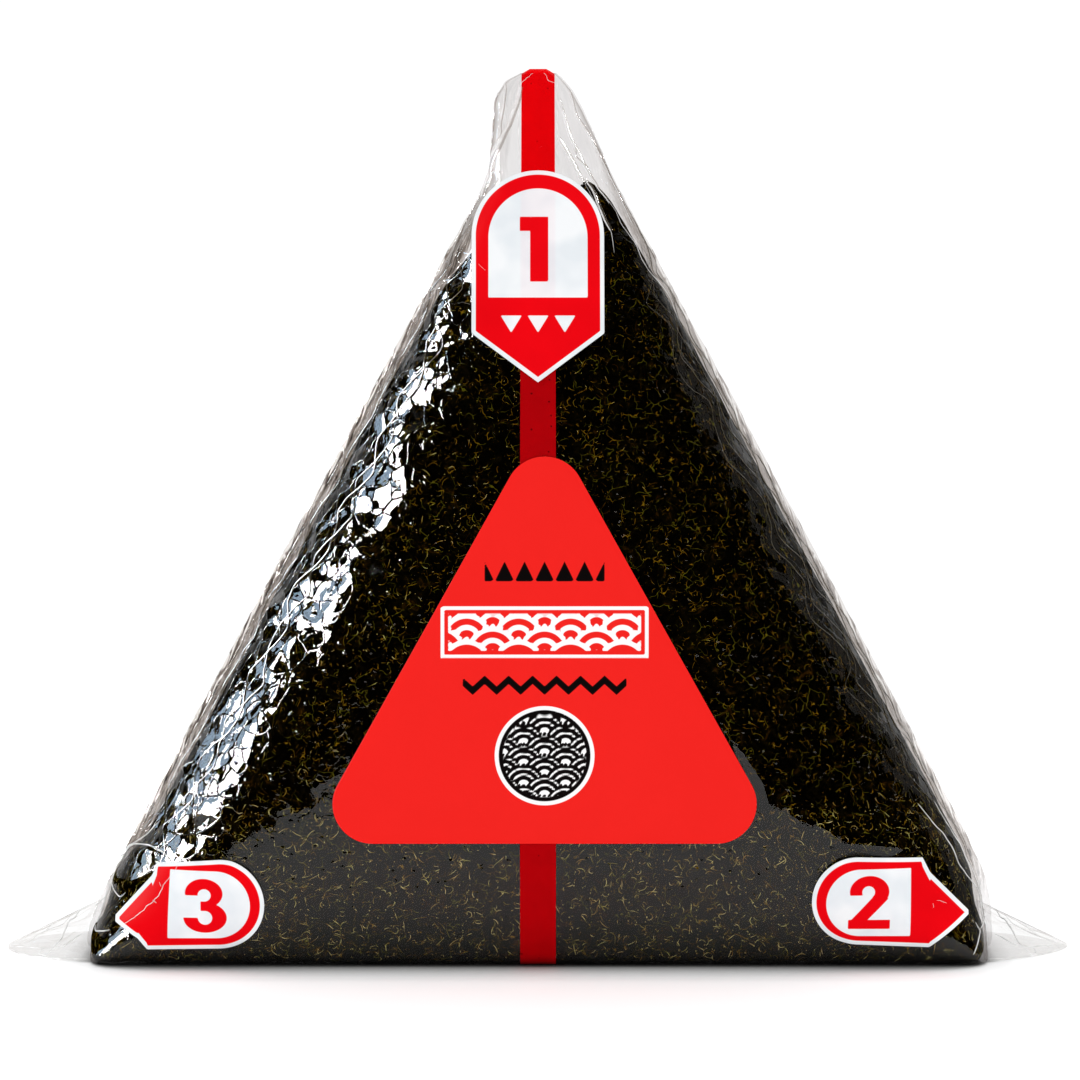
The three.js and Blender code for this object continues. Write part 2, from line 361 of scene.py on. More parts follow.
def nori_edges(z):
    """Left and right end of the nori: inside the film's edge, or the corner outline low down."""
    left, right = film_edges(z, BEYOND_THE_PACK)
    low = 1 - step_up(z, 7, 13)
    left = (1 - low) * (left + SEAM_LEFT) - low * np.interp(z, FOOT_HEIGHTS, FOOT_LEFT)
    right = (1 - low) * (right - SEAM_RIGHT) + low * np.interp(z, FOOT_HEIGHTS, FOOT_RIGHT)
    return left, right


def relief(x, y, z):
    """Dents of the rice through the nori: noise of three sizes, in mm."""
    return sum(height * noise(x, y, z, size, seed) for height, size, seed in RICE_DENTS)


def nori_points(wall=300, quarter=72):
    """All-round superellipse sections, closed to an edge at the top, with the rice's relief."""
    z, turned, shut = skin_rows(wall, UNDER_ROWS, NORI_TOP, NORI_FOOT, NORI_EDGE_HEIGHT)
    run = np.linspace(-1, 1, 2 * quarter + 1)
    run = np.concatenate([run, run[-2:0:-1]])[None, :]
    side = np.concatenate([np.ones(2 * quarter + 1), -np.ones(2 * quarter - 1)])[None, :]
    left_edge, right_edge = nori_edges(z)
    middle, reach = (left_edge + right_edge) / 2, (right_edge - left_edge) / 2
    across = 1 - np.abs(run) ** SIDE_CROWDING
    closing = np.clip((z - (NORI_TOP - NORI_ROUNDING)) / NORI_ROUNDING, 0, 1)
    narrow = 0.1 * turned + 0.3 * step_up(z, 70, 80) + 2.0 * closing**8
    x = middle + side * (reach - narrow) * across
    out = np.sqrt(np.clip(1 - across ** (1.15 * fullness(z)), 0, 1))
    depth = (half_depth(z) - NORI_INSET - NORI_EDGE_TURN * turned) * np.sqrt(1 - closing**2.4)
    y = np.sign(run) * depth * out * shut
    y = np.where(np.abs(y) < 1e-6, 0, y)
    slant = NORI_SLANT * step_up(-x, -2.0, 6.5) * step_up(z, 66, 80)
    slant = slant + 1.5 * step_up(5.0 - x, 0, 1.2) * step_up(z, 74, 80)
    points = np.stack(np.broadcast_arrays(x, y, z - slant), axis=-1)
    outward = grid_normals(points, points - [0, 0, 30])
    hold = step_up(z, NORI_FOOT, 3) * (1 - closing**3)
    return points + outward * (relief(x, y, z) * hold)[..., None], outward


nori_grid, nori_out = nori_points()
print("nori grid", nori_grid.shape)

# %% [markdown]
# ## Materials
#
# Colours are written as sRGB hex values, as a colour picker gives them, and one function
# turns them into the linear numbers that Blender calculates with. One more function adds a
# node, sets its options and links or fills its inputs.

# %% Material helpers


def linear(code):
    """sRGB hex to linear RGBA: the sRGB curve undone channel by channel."""
    channels = [int(code[i:i + 2], 16) / 255 for i in (1, 3, 5)]
    curve = [c / 12.92 if c <= 0.04045 else ((c + 0.055) / 1.055) ** 2.4 for c in channels]
    return (*curve, 1.0)


def add(tree, kind, inputs=None, **options):
    """Adds a shader node: options are its settings, inputs its values or the sockets that feed them."""
    node = tree.nodes.new("ShaderNode" + kind)
    for key, value in options.items():
        setattr(node, key, value)
    for key, value in (inputs or {}).items():
        if isinstance(value, bpy.types.NodeSocket):
            tree.links.new(value, node.inputs[key])
        else:
            node.inputs[key].default_value = value
    return node


def new_material(name):
    """A material and its node tree, still empty."""
    material = bpy.data.materials.new(name)
    material.use_nodes = True
    material.node_tree.nodes.clear()
    return material, material.node_tree


def coated(material, shader):
    """The material with a shader as its surface."""
    add(material.node_tree, "OutputMaterial", {"Surface": shader.outputs[0]})
    return material


def set_ramp(ramp, *stops):
    """Fills a colour ramp with (position, sRGB hex) stops."""
    elements = ramp.color_ramp.elements
    while len(elements) < len(stops):
        elements.new(0.5)
    for element, (position, code) in zip(elements, stops):
        element.position = position
        element.color = linear(code)


print("mid grey in linear light:", round(linear("#808080")[0], 3))

# %% [markdown]
# ### Nori
#
# The sheet is matt and nearly black, because it lies wetted against the film, and all the
# gloss is left to that film. Noise of 1.5 mm gives clouds of brown. Two Voronoi nets, of
# 1.8 and 1.0 mm cells bent by more noise, give the finest pressed threads: a thread shows
# where the distance to a cell's border is small, and a noise breaks it into short runs.

# %% Nori material
# Cell in mm, a thread's width as a share of the cell, where its gaps end, and its colour.
THREAD_NETS = ((1.8, 0.014, 0.50, "#524e0e"), (1.0, 0.024, 0.56, "#7a5c0c"))


def nori_material():
    """Dark green paper: a ramp over warped noise, and broken Voronoi borders as threads."""
    material, tree = new_material("pressed_nori")
    place = add(tree, "TexCoord").outputs["Object"]
    clouds = add(tree, "TexNoise", {
        "Vector": place, "Scale": 1 / (1.5 * MM), "Detail": 4.0, "Roughness": 0.65, "Distortion": 1.2})
    base = add(tree, "ValToRGB", {"Fac": clouds.outputs["Fac"]})
    set_ramp(base, (0.50, "#020100"), (0.62, "#0b0701"), (0.72, "#2a1902"), (0.84, "#4a2c04"))
    colour = base.outputs["Color"]
    warp = add(tree, "TexNoise", {"Vector": place, "Scale": 1 / (0.8 * MM), "Detail": 1.0})
    bent = add(tree, "VectorMath", {0: warp.outputs["Color"], 1: (0.8 * MM,) * 3, 2: place},
               operation="MULTIPLY_ADD")
    for cell, width, gaps, ink in THREAD_NETS:
        net = add(tree, "TexVoronoi", {"Vector": bent.outputs[0], "Scale": 1 / (cell * MM)},
                  feature="DISTANCE_TO_EDGE")
        line = add(tree, "MapRange", {"Value": net.outputs["Distance"], "From Min": width / 2,
                                      "From Max": width, "To Min": 1.0, "To Max": 0.0})
        patches = add(tree, "TexNoise", {"Vector": place, "Scale": 1.3 / (cell * MM), "Detail": 2.0})
        shown = add(tree, "MapRange", {"Value": patches.outputs["Fac"], "From Min": gaps,
                                       "From Max": gaps + 0.12})
        share = add(tree, "Math", {0: line.outputs[0], 1: shown.outputs[0]}, operation="MULTIPLY")
        colour = add(tree, "Mix", {"Factor": share.outputs[0], 6: colour, 7: linear(ink)},
                     data_type="RGBA").outputs[2]
    shader = add(tree, "BsdfDiffuse", {"Color": colour})
    return coated(material, shader)


nori_skin = new_mesh("nori_rice_ball", nori_grid, grid_faces(*nori_grid.shape[:2], closed=True))
weld(nori_skin, turn_out=True)
finish_piece(nori_skin, nori_material(), "pack", "film_pack")

# %% [markdown]
# ## Nori strands
#
# From a step away the sheet shows short curled strands and specks, paler than the rest.
# They are drawn as real slivers that lie on the nori, the strands 0.02 to 0.04 mm wide and
# the specks about 0.1 mm. Each starts at a random place, weighted by area, and follows an
# arc across the grid of the skin, so that it always hugs the surface. Low on the pack they
# lie closer and are paler. Two values are stored on the points. The tone runs from dull to
# bright, and many strands brighten towards one end. The hue runs from olive to amber.

# %% Strands and specks
STRANDS = 16000
SPECKS = 20000
STRAND_LIFT = 0.03
# Below this height the slivers lie closer, and between these two they turn paler.
CROWDED_BELOW = 17.0
PALE_BELOW = (15, 19)


def slivers(count, length, width, bend, dull, rng, steps):
    """Ribbons along arcs: the heading turns evenly, and the two sides taper to the ends.

    Length and width are ranges in mm, bend spreads the turn in radians, and dull is the
    power that makes most of them dark.
    """
    down = np.linalg.norm(np.gradient(nori_grid, axis=0), axis=2)
    along = np.linalg.norm(np.gradient(nori_grid, axis=1), axis=2)
    height = nori_grid[..., 2]
    area = (down * along * (height > 1.0) * (1 + 0.7 * (height < CROWDED_BELOW))).ravel()
    start = rng.choice(area.size, count, p=area / area.sum())
    row0, column0 = np.divmod(start, nori_grid.shape[1])
    per_row = np.maximum(down[row0, column0], 0.05)[:, None]
    per_column = np.maximum(along[row0, column0], 0.05)[:, None]
    size = rng.uniform(*length, count)[:, None]
    half = rng.uniform(*width, count)[:, None] / 2
    low = 1 - step_up(height[row0, column0], *PALE_BELOW)[:, None]
    half = half * (1 + 0.1 * low)
    # Painted light and shade: above the pale low band, strands right of the middle are a third duller, as if
    # in shade on the side away from the softbox.
    painted_side_light = 1 - 0.35 * step_up(nori_grid[row0, column0, 0], 2, 8)[:, None] * (1 - low)
    heading = rng.uniform(0, 2 * np.pi, count)[:, None]
    curl = rng.normal(0, bend, count)[:, None]
    run = np.linspace(0, 1, steps)[None, :]
    angle = heading + curl * run
    stride = size / (steps - 1)
    u = np.cumsum(np.cos(angle) * stride, axis=1)
    v = np.cumsum(np.sin(angle) * stride, axis=1)
    taper = half * (0.4 + 0.6 * np.sin(np.pi * (0.1 + 0.8 * run)))
    sides = []
    for sign in (-1, 1):
        row = row0[:, None] + (u - sign * np.sin(angle) * taper) / per_row
        column = column0[:, None] + (v + sign * np.cos(angle) * taper) / per_column
        lift = STRAND_LIFT * read_grid(nori_out, row, column, closed=True)
        sides.append(read_grid(nori_grid, row, column, closed=True) + lift)
    points = np.stack(sides, axis=2)
    index = np.arange(count * steps * 2).reshape(count, steps, 2)
    corners = [index[:, :-1, 0], index[:, 1:, 0], index[:, 1:, 1], index[:, :-1, 1]]
    ends = rng.choice([-0.5, 0.0, 0.5], (count, 1)) * (2 * run - 1)
    tone = rng.uniform(0, 1, (count, 1)) ** dull * (0.6 + ends) * painted_side_light + 0.17 * low
    hue = np.broadcast_to(rng.uniform(0, 1, (count, 1)), tone.shape)
    tone, hue = (np.repeat(part[..., None], 2, axis=2).ravel() for part in (tone, hue))
    return points.reshape(-1, 3), np.stack(corners, axis=-1).reshape(-1, 4), tone, hue


def strand_mesh():
    """Curled slivers and short specks, joined into one mesh."""
    rng = np.random.default_rng(7)
    strands = slivers(STRANDS, (0.25, 1.25), (0.020, 0.038), 1.8, 1.4, rng, 6)
    specks = slivers(SPECKS, (0.07, 0.13), (0.06, 0.11), 0.2, 1.9, rng, 2)
    faces = np.concatenate([strands[1], specks[1] + len(strands[0])])
    points, tone, hue = (np.concatenate([strands[part], specks[part]]) for part in (0, 2, 3))
    return new_mesh("nori_strands", points, faces, tone=tone, hue=hue)


print("slivers:", STRANDS, "strands and", SPECKS, "specks")

# %% Strand material


def strand_material():
    """Dry laver strands: ramps over the tone, one olive and one amber, mixed by the hue."""
    material, tree = new_material("pale_laver_strands")
    tone = add(tree, "Attribute", attribute_name="tone")
    hue = add(tree, "Attribute", attribute_name="hue")
    olive = add(tree, "ValToRGB", {"Fac": tone.outputs["Fac"]})
    set_ramp(olive, (0.0, "#050600"), (0.22, "#2c2c04"), (0.50, "#85801a"), (0.80, "#f0e98c"))
    amber = add(tree, "ValToRGB", {"Fac": tone.outputs["Fac"]})
    set_ramp(amber, (0.0, "#080400"), (0.22, "#402604"), (0.50, "#a87812"), (0.80, "#ffe79a"))
    colour = add(tree, "Mix", {"Factor": hue.outputs["Fac"], 6: olive.outputs["Color"],
                               7: amber.outputs["Color"]}, data_type="RGBA")
    shader = add(tree, "BsdfDiffuse", {"Color": colour.outputs[2]})
    return coated(material, shader)


finish_piece(strand_mesh(), strand_material(), "pack")

# %% [markdown]
# ## Labels: outlines as distances
#
# The film lies flat where a label is stuck on it, so the labels' outlines come before the
# film. Each outline is a signed distance in millimetres, negative inside. A distance can be
# used three times: to calm the film, to colour the print with crisp edges, and to shape the
# label itself.

# %% Outlines
STICKER_MIDDLE = 0.66
STICKER_APEX = 56.3
STICKER_HALF_BASE = 24.1
STICKER_FOOT = 13.3
STICKER_RADIUS = 4.0
STICKER_LEAN = np.arctan(STICKER_HALF_BASE / (STICKER_APEX - STICKER_FOOT))
# Centres of its roundings: the lower two by x and height, the upper one by height.
CORNER_OUT = STICKER_HALF_BASE - STICKER_RADIUS * np.tan((np.pi / 2 + STICKER_LEAN) / 2)
CORNER_UP = STICKER_FOOT + STICKER_RADIUS
APEX_UP = STICKER_APEX - STICKER_RADIUS / np.sin(STICKER_LEAN)

TAG_HALF_WIDTH = 6.68
TAG_TOP = 80.8
TAG_SHOULDER = 64.4
TAG_POINT = 59.5
TAG_ARCH = TAG_TOP - TAG_HALF_WIDTH

# Upper and lower edges of the corner tags, as distance from x = 0 and height, and their ends.
CORNER_TAGS = {
    1: {"upper": ([30.9, 38.8, 39.6, 43.6], [11.85, 11.55, 10.0, 5.95]),
        "lower": ([31.0, 39.6, 43.6], [2.75, 2.4, 5.55]),
        "start": 27.6, "round": 32.3, "end": 43.6},
    -1: {"upper": ([30.9, 38.5, 39.0, 42.8], [11.6, 10.9, 9.6, 5.45]),
         "lower": ([31.2, 39.6, 40.5, 42.8], [2.25, 2.15, 3.35, 4.85]),
         "start": 27.6, "round": 32.3, "end": 42.8},
}

print(f"sticker roundings: {CORNER_OUT:.1f} mm out at {CORNER_UP:.1f} mm, and the top at {APEX_UP:.1f} mm")

# %% Distances to the outlines


def sticker_distance(x, z):
    """Rounded triangle: the distance to the triangle of its corner centres, less the radius."""
    across = np.abs(x - STICKER_MIDDLE)
    out, up = across - CORNER_OUT, z - CORNER_UP
    sin, cos = np.sin(STICKER_LEAN), np.cos(STICKER_LEAN)
    side = out * cos + up * sin
    up_side = up * cos - out * sin
    foot_corner = np.hypot(out, up)
    apex_corner = np.hypot(across, z - APEX_UP)
    past_apex = up_side > np.hypot(CORNER_OUT, APEX_UP - CORNER_UP)
    beside = np.where(up_side < 0, foot_corner, np.where(past_apex, apex_corner, side))
    below = np.where(out > 0, foot_corner, -up)
    outside = np.where(side > 0, np.where(up < 0, np.minimum(beside, below), beside), below)
    inside = (side < 0) & (up > 0)
    return np.where(inside, np.maximum(side, -up), outside) - STICKER_RADIUS


def tag_distance(x, z):
    """Round-topped tag with a point below: the largest of its arch, sides and slants."""
    arch = np.where(z > TAG_ARCH, np.hypot(x, z - TAG_ARCH), np.abs(x)) - TAG_HALF_WIDTH
    rise, run = TAG_SHOULDER - TAG_POINT, TAG_HALF_WIDTH
    slant = (np.abs(x) * rise - (z - TAG_POINT) * run) / np.hypot(rise, run)
    return np.maximum(arch, slant)


def corner_tag_edges(side, out):
    """Upper and lower edge of a corner tag at a distance from x = 0."""
    tag = CORNER_TAGS[side]
    return np.interp(out, *tag["upper"]), np.interp(out, *tag["lower"])


def corner_tag_distance(side, out, z):
    """Lying tag: height beyond the nearer edge, times the cosine of that edge's slope."""
    tag = CORNER_TAGS[side]
    upper, lower = corner_tag_edges(side, out)
    upper_next, lower_next = corner_tag_edges(side, out + 0.05)
    above = (z - upper) / np.hypot(1, (upper_next - upper) / 0.05)
    below = (lower - z) / np.hypot(1, (lower_next - lower) / 0.05)
    half = (upper - lower) / 2
    along = (out - tag["round"]) * half / (tag["round"] - tag["start"])
    round_end = np.hypot(along, z - (upper + lower) / 2) - half
    edge = np.where(out < tag["round"], round_end, np.maximum(above, below))
    return np.maximum(edge, out - tag["end"])


def label_distance(x, z):
    """Distance to the nearest of the four labels."""
    right = corner_tag_distance(1, x, z)
    left = corner_tag_distance(-1, -x, z)
    return np.minimum(np.minimum(sticker_distance(x, z), tag_distance(x, z)), np.minimum(right, left))


print(f"label distance at the middle of the sticker: {label_distance(STICKER_MIDDLE, 28.0):.1f} mm")

# %% [markdown]
# ## Clear film
#
# The wrapper is polypropylene about 0.03 mm thick. It is made here in four sheets: the
# front and the back, each parted under the tear strip into a left and a right one, as the
# strip parts it when it is pulled. Front and back meet in the pressed seam at the sides.
#
# The columns of a sheet crowd towards the seam, where all the detail is. The film is tight
# over the flat front and takes on the relief of the rice. Where it turns the side it is
# crumpled: random heights on a lattice of triangles give flat facets with sharp creases.
# The seam itself ripples as one thin sheet.

# %% Film sheets
FILM_GAP = 0.24
FILM_FOOT = 0.08
SEAM_LIMIT = 47.6
SEAM_CROWDING = 1.7
SEAM_HALF_THICKNESS = 0.08
# Width of the pressed seam at the left and the right, and how strongly its layers grey it.
SEAM_BAND = {-1: (2.3, 1.0), 1: (1.6, 0.55)}
# Rows down the wall, rows under the base, and columns of the front and back sheets.
FRONT_GRID = (430, 20, 205)
BACK_GRID = (260, 16, 130)
# Cell size, height and squeeze along the pack's side of each layer of facets, in mm.
FACETS = ((3.0, 0.33, 0.85), (1.5, 0.10, 1.0))

# Where the peak's main folds run, as x at each height, and the grey of the panels that the
# left fold, the strip and the right fold part, from left to right.
FOLD_HEIGHTS = [75, 78, 80, 81.7, 83.4, 85.5, 87.6, 89.6]
FOLD_LEFT = [-7.2, -5.8, -5.0, -4.7, -4.0, -3.1, -2.3, -1.85]
FOLD_RIGHT = [9.7, 8.3, 7.4, 6.4, 5.6, 4.5, 3.7, 3.1]
PANEL_GREY = np.array([0.0, 0.02, 0.06, 0.02])

print("points in a front sheet:", (FRONT_GRID[0] + BASE_TURN_ROWS + FRONT_GRID[1]) * FRONT_GRID[2])

# %% Layout and folds of a sheet


def sheet_layout(side, z, inside_share):
    """Distance inside the seam's edge and x, from the share of the way in, crowded by a power."""
    left_edge, right_edge = body_edges(z)
    middle = (left_edge + right_edge) / 2
    width = np.abs(film_edges(z, SEAM_LIMIT)[0 if side < 0 else 1] - middle)
    inside = width * inside_share**SEAM_CROWDING
    return inside, middle + side * (width - inside), (right_edge - left_edge) / 2, middle


def crumple(side, inside, z, seed):
    """Facets of two sizes along the turn of the side, their lattice a little bent by noise."""
    u = inside + 0.6 * noise(inside, z, side, 4.0, seed)
    v = 1.12 * z + 0.6 * noise(inside, z, side, 4.0, seed + 1)
    folds = sum(height * facets(u, squeeze * v, size, seed + 2 + k)
                for k, (size, height, squeeze) in enumerate(FACETS))
    low = 1 - step_up(z, 18, 45)
    middle = 5.4 * step_up(84 - z, 0, 24) - 1.4 * low
    spread = 1.0 + 3.6 * step_up(84 - z, 0, 24) - 1.5 * low
    return folds * np.exp(-np.abs((inside - middle) / spread) ** 3)


def seam_ripple(side, inside, z):
    """Waves that front and back share: long along the seam, short across it."""
    skewed = inside + 0.22 * z
    fine = noise(skewed, z, side * 9, (0.5, 2.6, 1.0), 61)
    coarse = noise(inside, z, side * 9, (1.6, 5.0, 1.0), 62)
    return (0.07 * fine + 0.12 * coarse) * np.exp(-((inside / 2.4) ** 3))


def peak_facets(x, z):
    """Upright creases in the bare film above the rice: one slanted and one steep triangle wave."""
    first = triangle_wave((x + 0.28 * z) / 3.9)
    second = triangle_wave((x - 0.16 * z) / 5.3 + 0.2)
    return (0.16 * first + 0.18 * second) * step_up(z, 79, 83) * step_up(FILM_TOP - z, 0.2, 2.0)


def corner_folds(x, z):
    """A flap over the lower left corner, and a crease above the right tag, below which film tilts."""
    flap = np.minimum(12.0 - 0.16 * (x + 40.0) ** 2 - z, z - 4.0)
    flap = np.where(x < -35.5, 0.34 * step_up(flap, 0.0, 0.35) * step_up(z, 3, 11), 0)
    below = (17.3 - 0.574 * (x - 22.8)) - z
    rise = 0.28 * step_up(x, 12, 17) * step_up(44 - x, 0, 8)
    return flap + rise * np.where(below > 0, np.clip(1 - below / 4.0, 0, 1), bell(below, 0, 4))


sample = crumple(-1, np.linspace(0, 12, 200), 40.0, 41)
print(f"crumple across the left side: {sample.min():.2f} to {sample.max():.2f} mm")

# %% Points of the film


def film_sheet(side, face, grid, seed):
    """One sheet: the body's superellipse with a thin seam beyond it, then its folds."""
    wall, under, columns = grid
    z, turned, shut = skin_rows(wall, under, FILM_TOP, FILM_FOOT, EDGE_HEIGHT)
    share = 1 - np.linspace(0, 1, columns)[None, :]
    inside, x, reach, middle = sheet_layout(side, z, share)
    x = x - side * 0.4 * turned * step_up(np.abs(x), 20, 46)
    across = np.clip(np.abs(x - middle) / (reach + FILM_GAP), 0, 1)
    out = np.sqrt(1 - across ** fullness(z))
    seam_share = 1 - np.exp(-inside / 0.12)
    body = (half_depth(z) + FILM_GAP - EDGE_TURN * turned) * out
    y = face * (body + SEAM_HALF_THICKNESS * seam_share) * shut
    x, y, z, inside = np.broadcast_arrays(x, y, z, inside)
    points = np.stack([x, y, z], axis=-1)
    outward = grid_normals(points, [0, face, 0])
    free = step_up(z, 0.2, 2.5) * step_up(FILM_TOP - z, 0.0, 2.5)
    tight = 0.06 + 0.94 * step_up(z, 19, 27)
    folds = 0.8 * relief(x, y, z) * step_up(82 - z, 0, 3) * tight + 0.03 * noise(x, y, z, 6.0, seed)
    folds = folds + crumple(side, inside, z, seed + 1) * step_up(z, 5, 12)
    folds = folds + 0.4 * peak_facets(x, z) * step_up(np.abs(x), 1.8, 2.8)
    if face < 0:
        folds = (folds + corner_folds(x, z)) * step_up(label_distance(x, z), 0.1, 1.2)
    folds = folds * free * (1 - np.exp(-inside / 0.5))
    points = points + outward * folds[..., None]
    tremor = 0.10 * noise(z, side, 0, 2.6, 71) + 0.05 * noise(z, side, 0, 0.9, 72)
    points[..., 0] += side * tremor * np.exp(-inside / 0.6) * step_up(z, 1, 4)
    points[..., 1] += seam_ripple(side, inside, z) * free
    band, strength = SEAM_BAND[side]
    seam = step_up(band - inside, 0, 0.5) * step_up(z, 4, 12)
    layers = seam * (0.1 + 0.9 * step_up(80 - z, 0, 6)) * strength
    fold_left, fold_right = (np.interp(z, FOLD_HEIGHTS, fold) for fold in (FOLD_LEFT, FOLD_RIGHT))
    panel = PANEL_GREY[(x >= fold_left).astype(int) + (x >= 0) + (x >= fold_right)]
    layers = np.maximum(layers, panel * step_up(z, 72, 76))
    return {"points": points, "outward": outward, "inside": inside, "layers": layers, "side": side}


sheets = {
    "film_front_left": film_sheet(-1, -1, FRONT_GRID, 40),
    "film_front_right": film_sheet(1, -1, FRONT_GRID, 50),
    "film_back_left": film_sheet(-1, 1, BACK_GRID, 40),
    "film_back_right": film_sheet(1, 1, BACK_GRID, 50),
}

print("film sheets:", {name: sheet["points"].shape[:2] for name, sheet in sheets.items()})

# %% [markdown]
# ### Film material
#
# Thin film hardly bends light, so it is a mix of looking through and mirroring. Schlick's
# rule gives the mirror share: 3 % face on, rising steeply at a glancing angle. The stored
# layers tell where several sheets lie pressed together in the seam: there the film looks
# brown-grey, with streaks of lighter and darker wrinkles along it, palest at the very edge.
#
# Bump adds what is too fine for the mesh. A Voronoi pattern of 2 mm, bent by noise, tilts
# the film cell by cell into curved panels with a fine ridge between them. Tiny dimples, one
# for each cell of a 1.2 mm pattern, catch the lamps as sparkles. The panels fade away from
# the seam, low down and on the peak, where the film is drawn tight.

# %% Relief of the film
PANEL_CELL = 2.0
PANEL_TILT = 0.42
DIMPLE_CELL = 1.2


def film_relief(tree, place, inside, along):
    """Normals from four bumps: a tremble, tilted panels, the ridges between them, and dimples."""
    sideways = add(tree, "SeparateXYZ", {0: place}).outputs["X"]
    calm = 1.0
    for source, low, high, start, end in (
            (inside, 6.0, 10.5, 1.0, 0.10), (sideways, -1 * MM, 1 * MM, 1.0, 0.45),
            (along, 9.0, 14.0, 0.25, 1.0), (along, 77.0, 82.0, 1.0, 0.15)):
        share = add(tree, "MapRange", {
            "Value": source, "From Min": low, "From Max": high, "To Min": start, "To Max": end})
        calm = add(tree, "Math", {0: calm, 1: share.outputs[0]}, operation="MULTIPLY").outputs[0]

    tremble = add(tree, "TexNoise", {"Vector": place, "Scale": 1 / (0.9 * MM), "Detail": 1.0})
    warp = add(tree, "TexNoise", {"Vector": place, "Scale": 1 / (1.4 * MM), "Detail": 1.0})
    bent = add(tree, "VectorMath", {0: warp.outputs["Color"], 1: (1.0 * MM,) * 3, 2: place},
               operation="MULTIPLY_ADD").outputs[0]
    panels = add(tree, "TexVoronoi", {"Vector": bent, "Scale": 1 / (PANEL_CELL * MM)})
    tilt = add(tree, "VectorMath", {0: panels.outputs["Color"], 1: (0.5, 0.5, 0.5)},
               operation="SUBTRACT")
    arm = add(tree, "VectorMath", {0: bent, 1: panels.outputs["Position"]},
              operation="SUBTRACT")
    plane = add(tree, "VectorMath", {0: tilt.outputs[0], 1: arm.outputs[0]},
                operation="DOT_PRODUCT")
    borders = add(tree, "TexVoronoi", {"Vector": bent, "Scale": 1 / (PANEL_CELL * MM)},
                  feature="DISTANCE_TO_EDGE")
    ridge = add(tree, "MapRange", {
        "Value": borders.outputs["Distance"], "From Min": 0.0, "From Max": 0.045,
        "To Min": 1.0, "To Max": 0.0})
    pits = add(tree, "TexVoronoi", {"Vector": place, "Scale": 1 / (DIMPLE_CELL * MM)})
    dimple = add(tree, "MapRange", {
        "Value": pits.outputs["Distance"], "From Min": 0.0, "From Max": 0.19,
        "To Min": 1.0, "To Max": 0.0})

    below = {}
    for height, distance, strength in (
            (tremble.outputs["Fac"], 0.02 * MM, calm), (plane.outputs["Value"], PANEL_TILT, calm),
            (ridge.outputs[0], 0.05 * MM, calm), (dimple.outputs[0], 0.10 * MM, 0.8)):
        bump = add(tree, "Bump", {
            "Height": height, "Distance": distance, "Strength": strength, **below})
        below = {"Normal": bump.outputs["Normal"]}
    return bump.outputs["Normal"]


print("panels of", PANEL_CELL, "mm and dimples of", DIMPLE_CELL, "mm")

# %% Film material
MIRROR_FACE_ON = 0.032


def film_veil(tree, inside, along, facing, clear, glancing):
    """What the film lets through: clear, streaked where layers are pressed, greyer edge-on."""
    skew = add(tree, "Math", {0: along, 1: 0.16, 2: inside}, operation="MULTIPLY_ADD")
    stretched = add(tree, "CombineXYZ", {"X": skew.outputs[0], "Y": along})
    streaks = add(tree, "Mapping", {"Vector": stretched.outputs[0], "Scale": (3.0, 0.34, 1.0)})
    wrinkle = add(tree, "TexNoise", {
        "Vector": streaks.outputs[0], "Scale": 1.0, "Detail": 2.0, "Roughness": 0.7, "Distortion": 0.9})
    edge = add(tree, "MapRange", {
        "Value": inside, "From Min": 0.1, "From Max": 0.6, "To Min": 0.16, "To Max": 0.0})
    paler = add(tree, "Math", {0: wrinkle.outputs["Fac"], 1: edge.outputs[0]}, operation="ADD")
    pressed = add(tree, "ValToRGB", {"Fac": paler.outputs[0]})
    set_ramp(pressed, (0.38, "#56504b"), (0.45, "#aea6a0"), (0.57, "#bdb6b1"), (0.64, "#f4f2f0"))
    layers = add(tree, "Attribute", attribute_name="layers")
    veil = add(tree, "Mix", {
        "Factor": layers.outputs["Fac"], 6: linear(clear), 7: pressed.outputs["Color"]}, data_type="RGBA")
    edge_on = add(tree, "Math", {0: facing, 1: 4.0}, operation="POWER")
    grey = add(tree, "Mix", {
        "Factor": edge_on.outputs[0], 6: veil.outputs[2], 7: linear(glancing)}, data_type="RGBA")
    return grey.outputs[2]


def film_material(name, clear="#f5f4f4", glancing="#b9b2ad", mirror_rise=0.28):
    """Transparent and glossy shaders mixed by Schlick's rule over the relief."""
    material, tree = new_material(name)
    place = add(tree, "TexCoord").outputs["Object"]
    inside = add(tree, "Attribute", attribute_name="inside").outputs["Fac"]
    along = add(tree, "Attribute", attribute_name="along").outputs["Fac"]
    normal = film_relief(tree, place, inside, along)
    facing = add(tree, "LayerWeight", {"Blend": 0.5, "Normal": normal}).outputs["Facing"]
    fifth = add(tree, "Math", {0: facing, 1: 5.0}, operation="POWER")
    share = add(tree, "Math", {0: fifth.outputs[0], 1: mirror_rise, 2: MIRROR_FACE_ON},
                operation="MULTIPLY_ADD")
    veil = film_veil(tree, inside, along, facing, clear, glancing)
    through = add(tree, "BsdfTransparent", {"Color": veil})
    mirror = add(tree, "BsdfAnisotropic", {
        "Color": (1, 1, 1, 1), "Roughness": 0.035, "Normal": normal})
    both = add(tree, "MixShader", {
        0: share.outputs[0], 1: through.outputs[0], 2: mirror.outputs[0]})
    return coated(material, both)


clear_film = film_material("clear_polypropylene_film")
for name, sheet in sheets.items():
    points = sheet["points"]
    face = 1 if "back" in name else -1
    quads = grid_faces(*points.shape[:2], flip=sheet["side"] * face > 0)
    piece = new_mesh(name, points, quads, along=points[..., 2],
                     inside=sheet["inside"], layers=sheet["layers"])
    weld(piece)
    finish_piece(piece, clear_film, "pack", "film_pack")

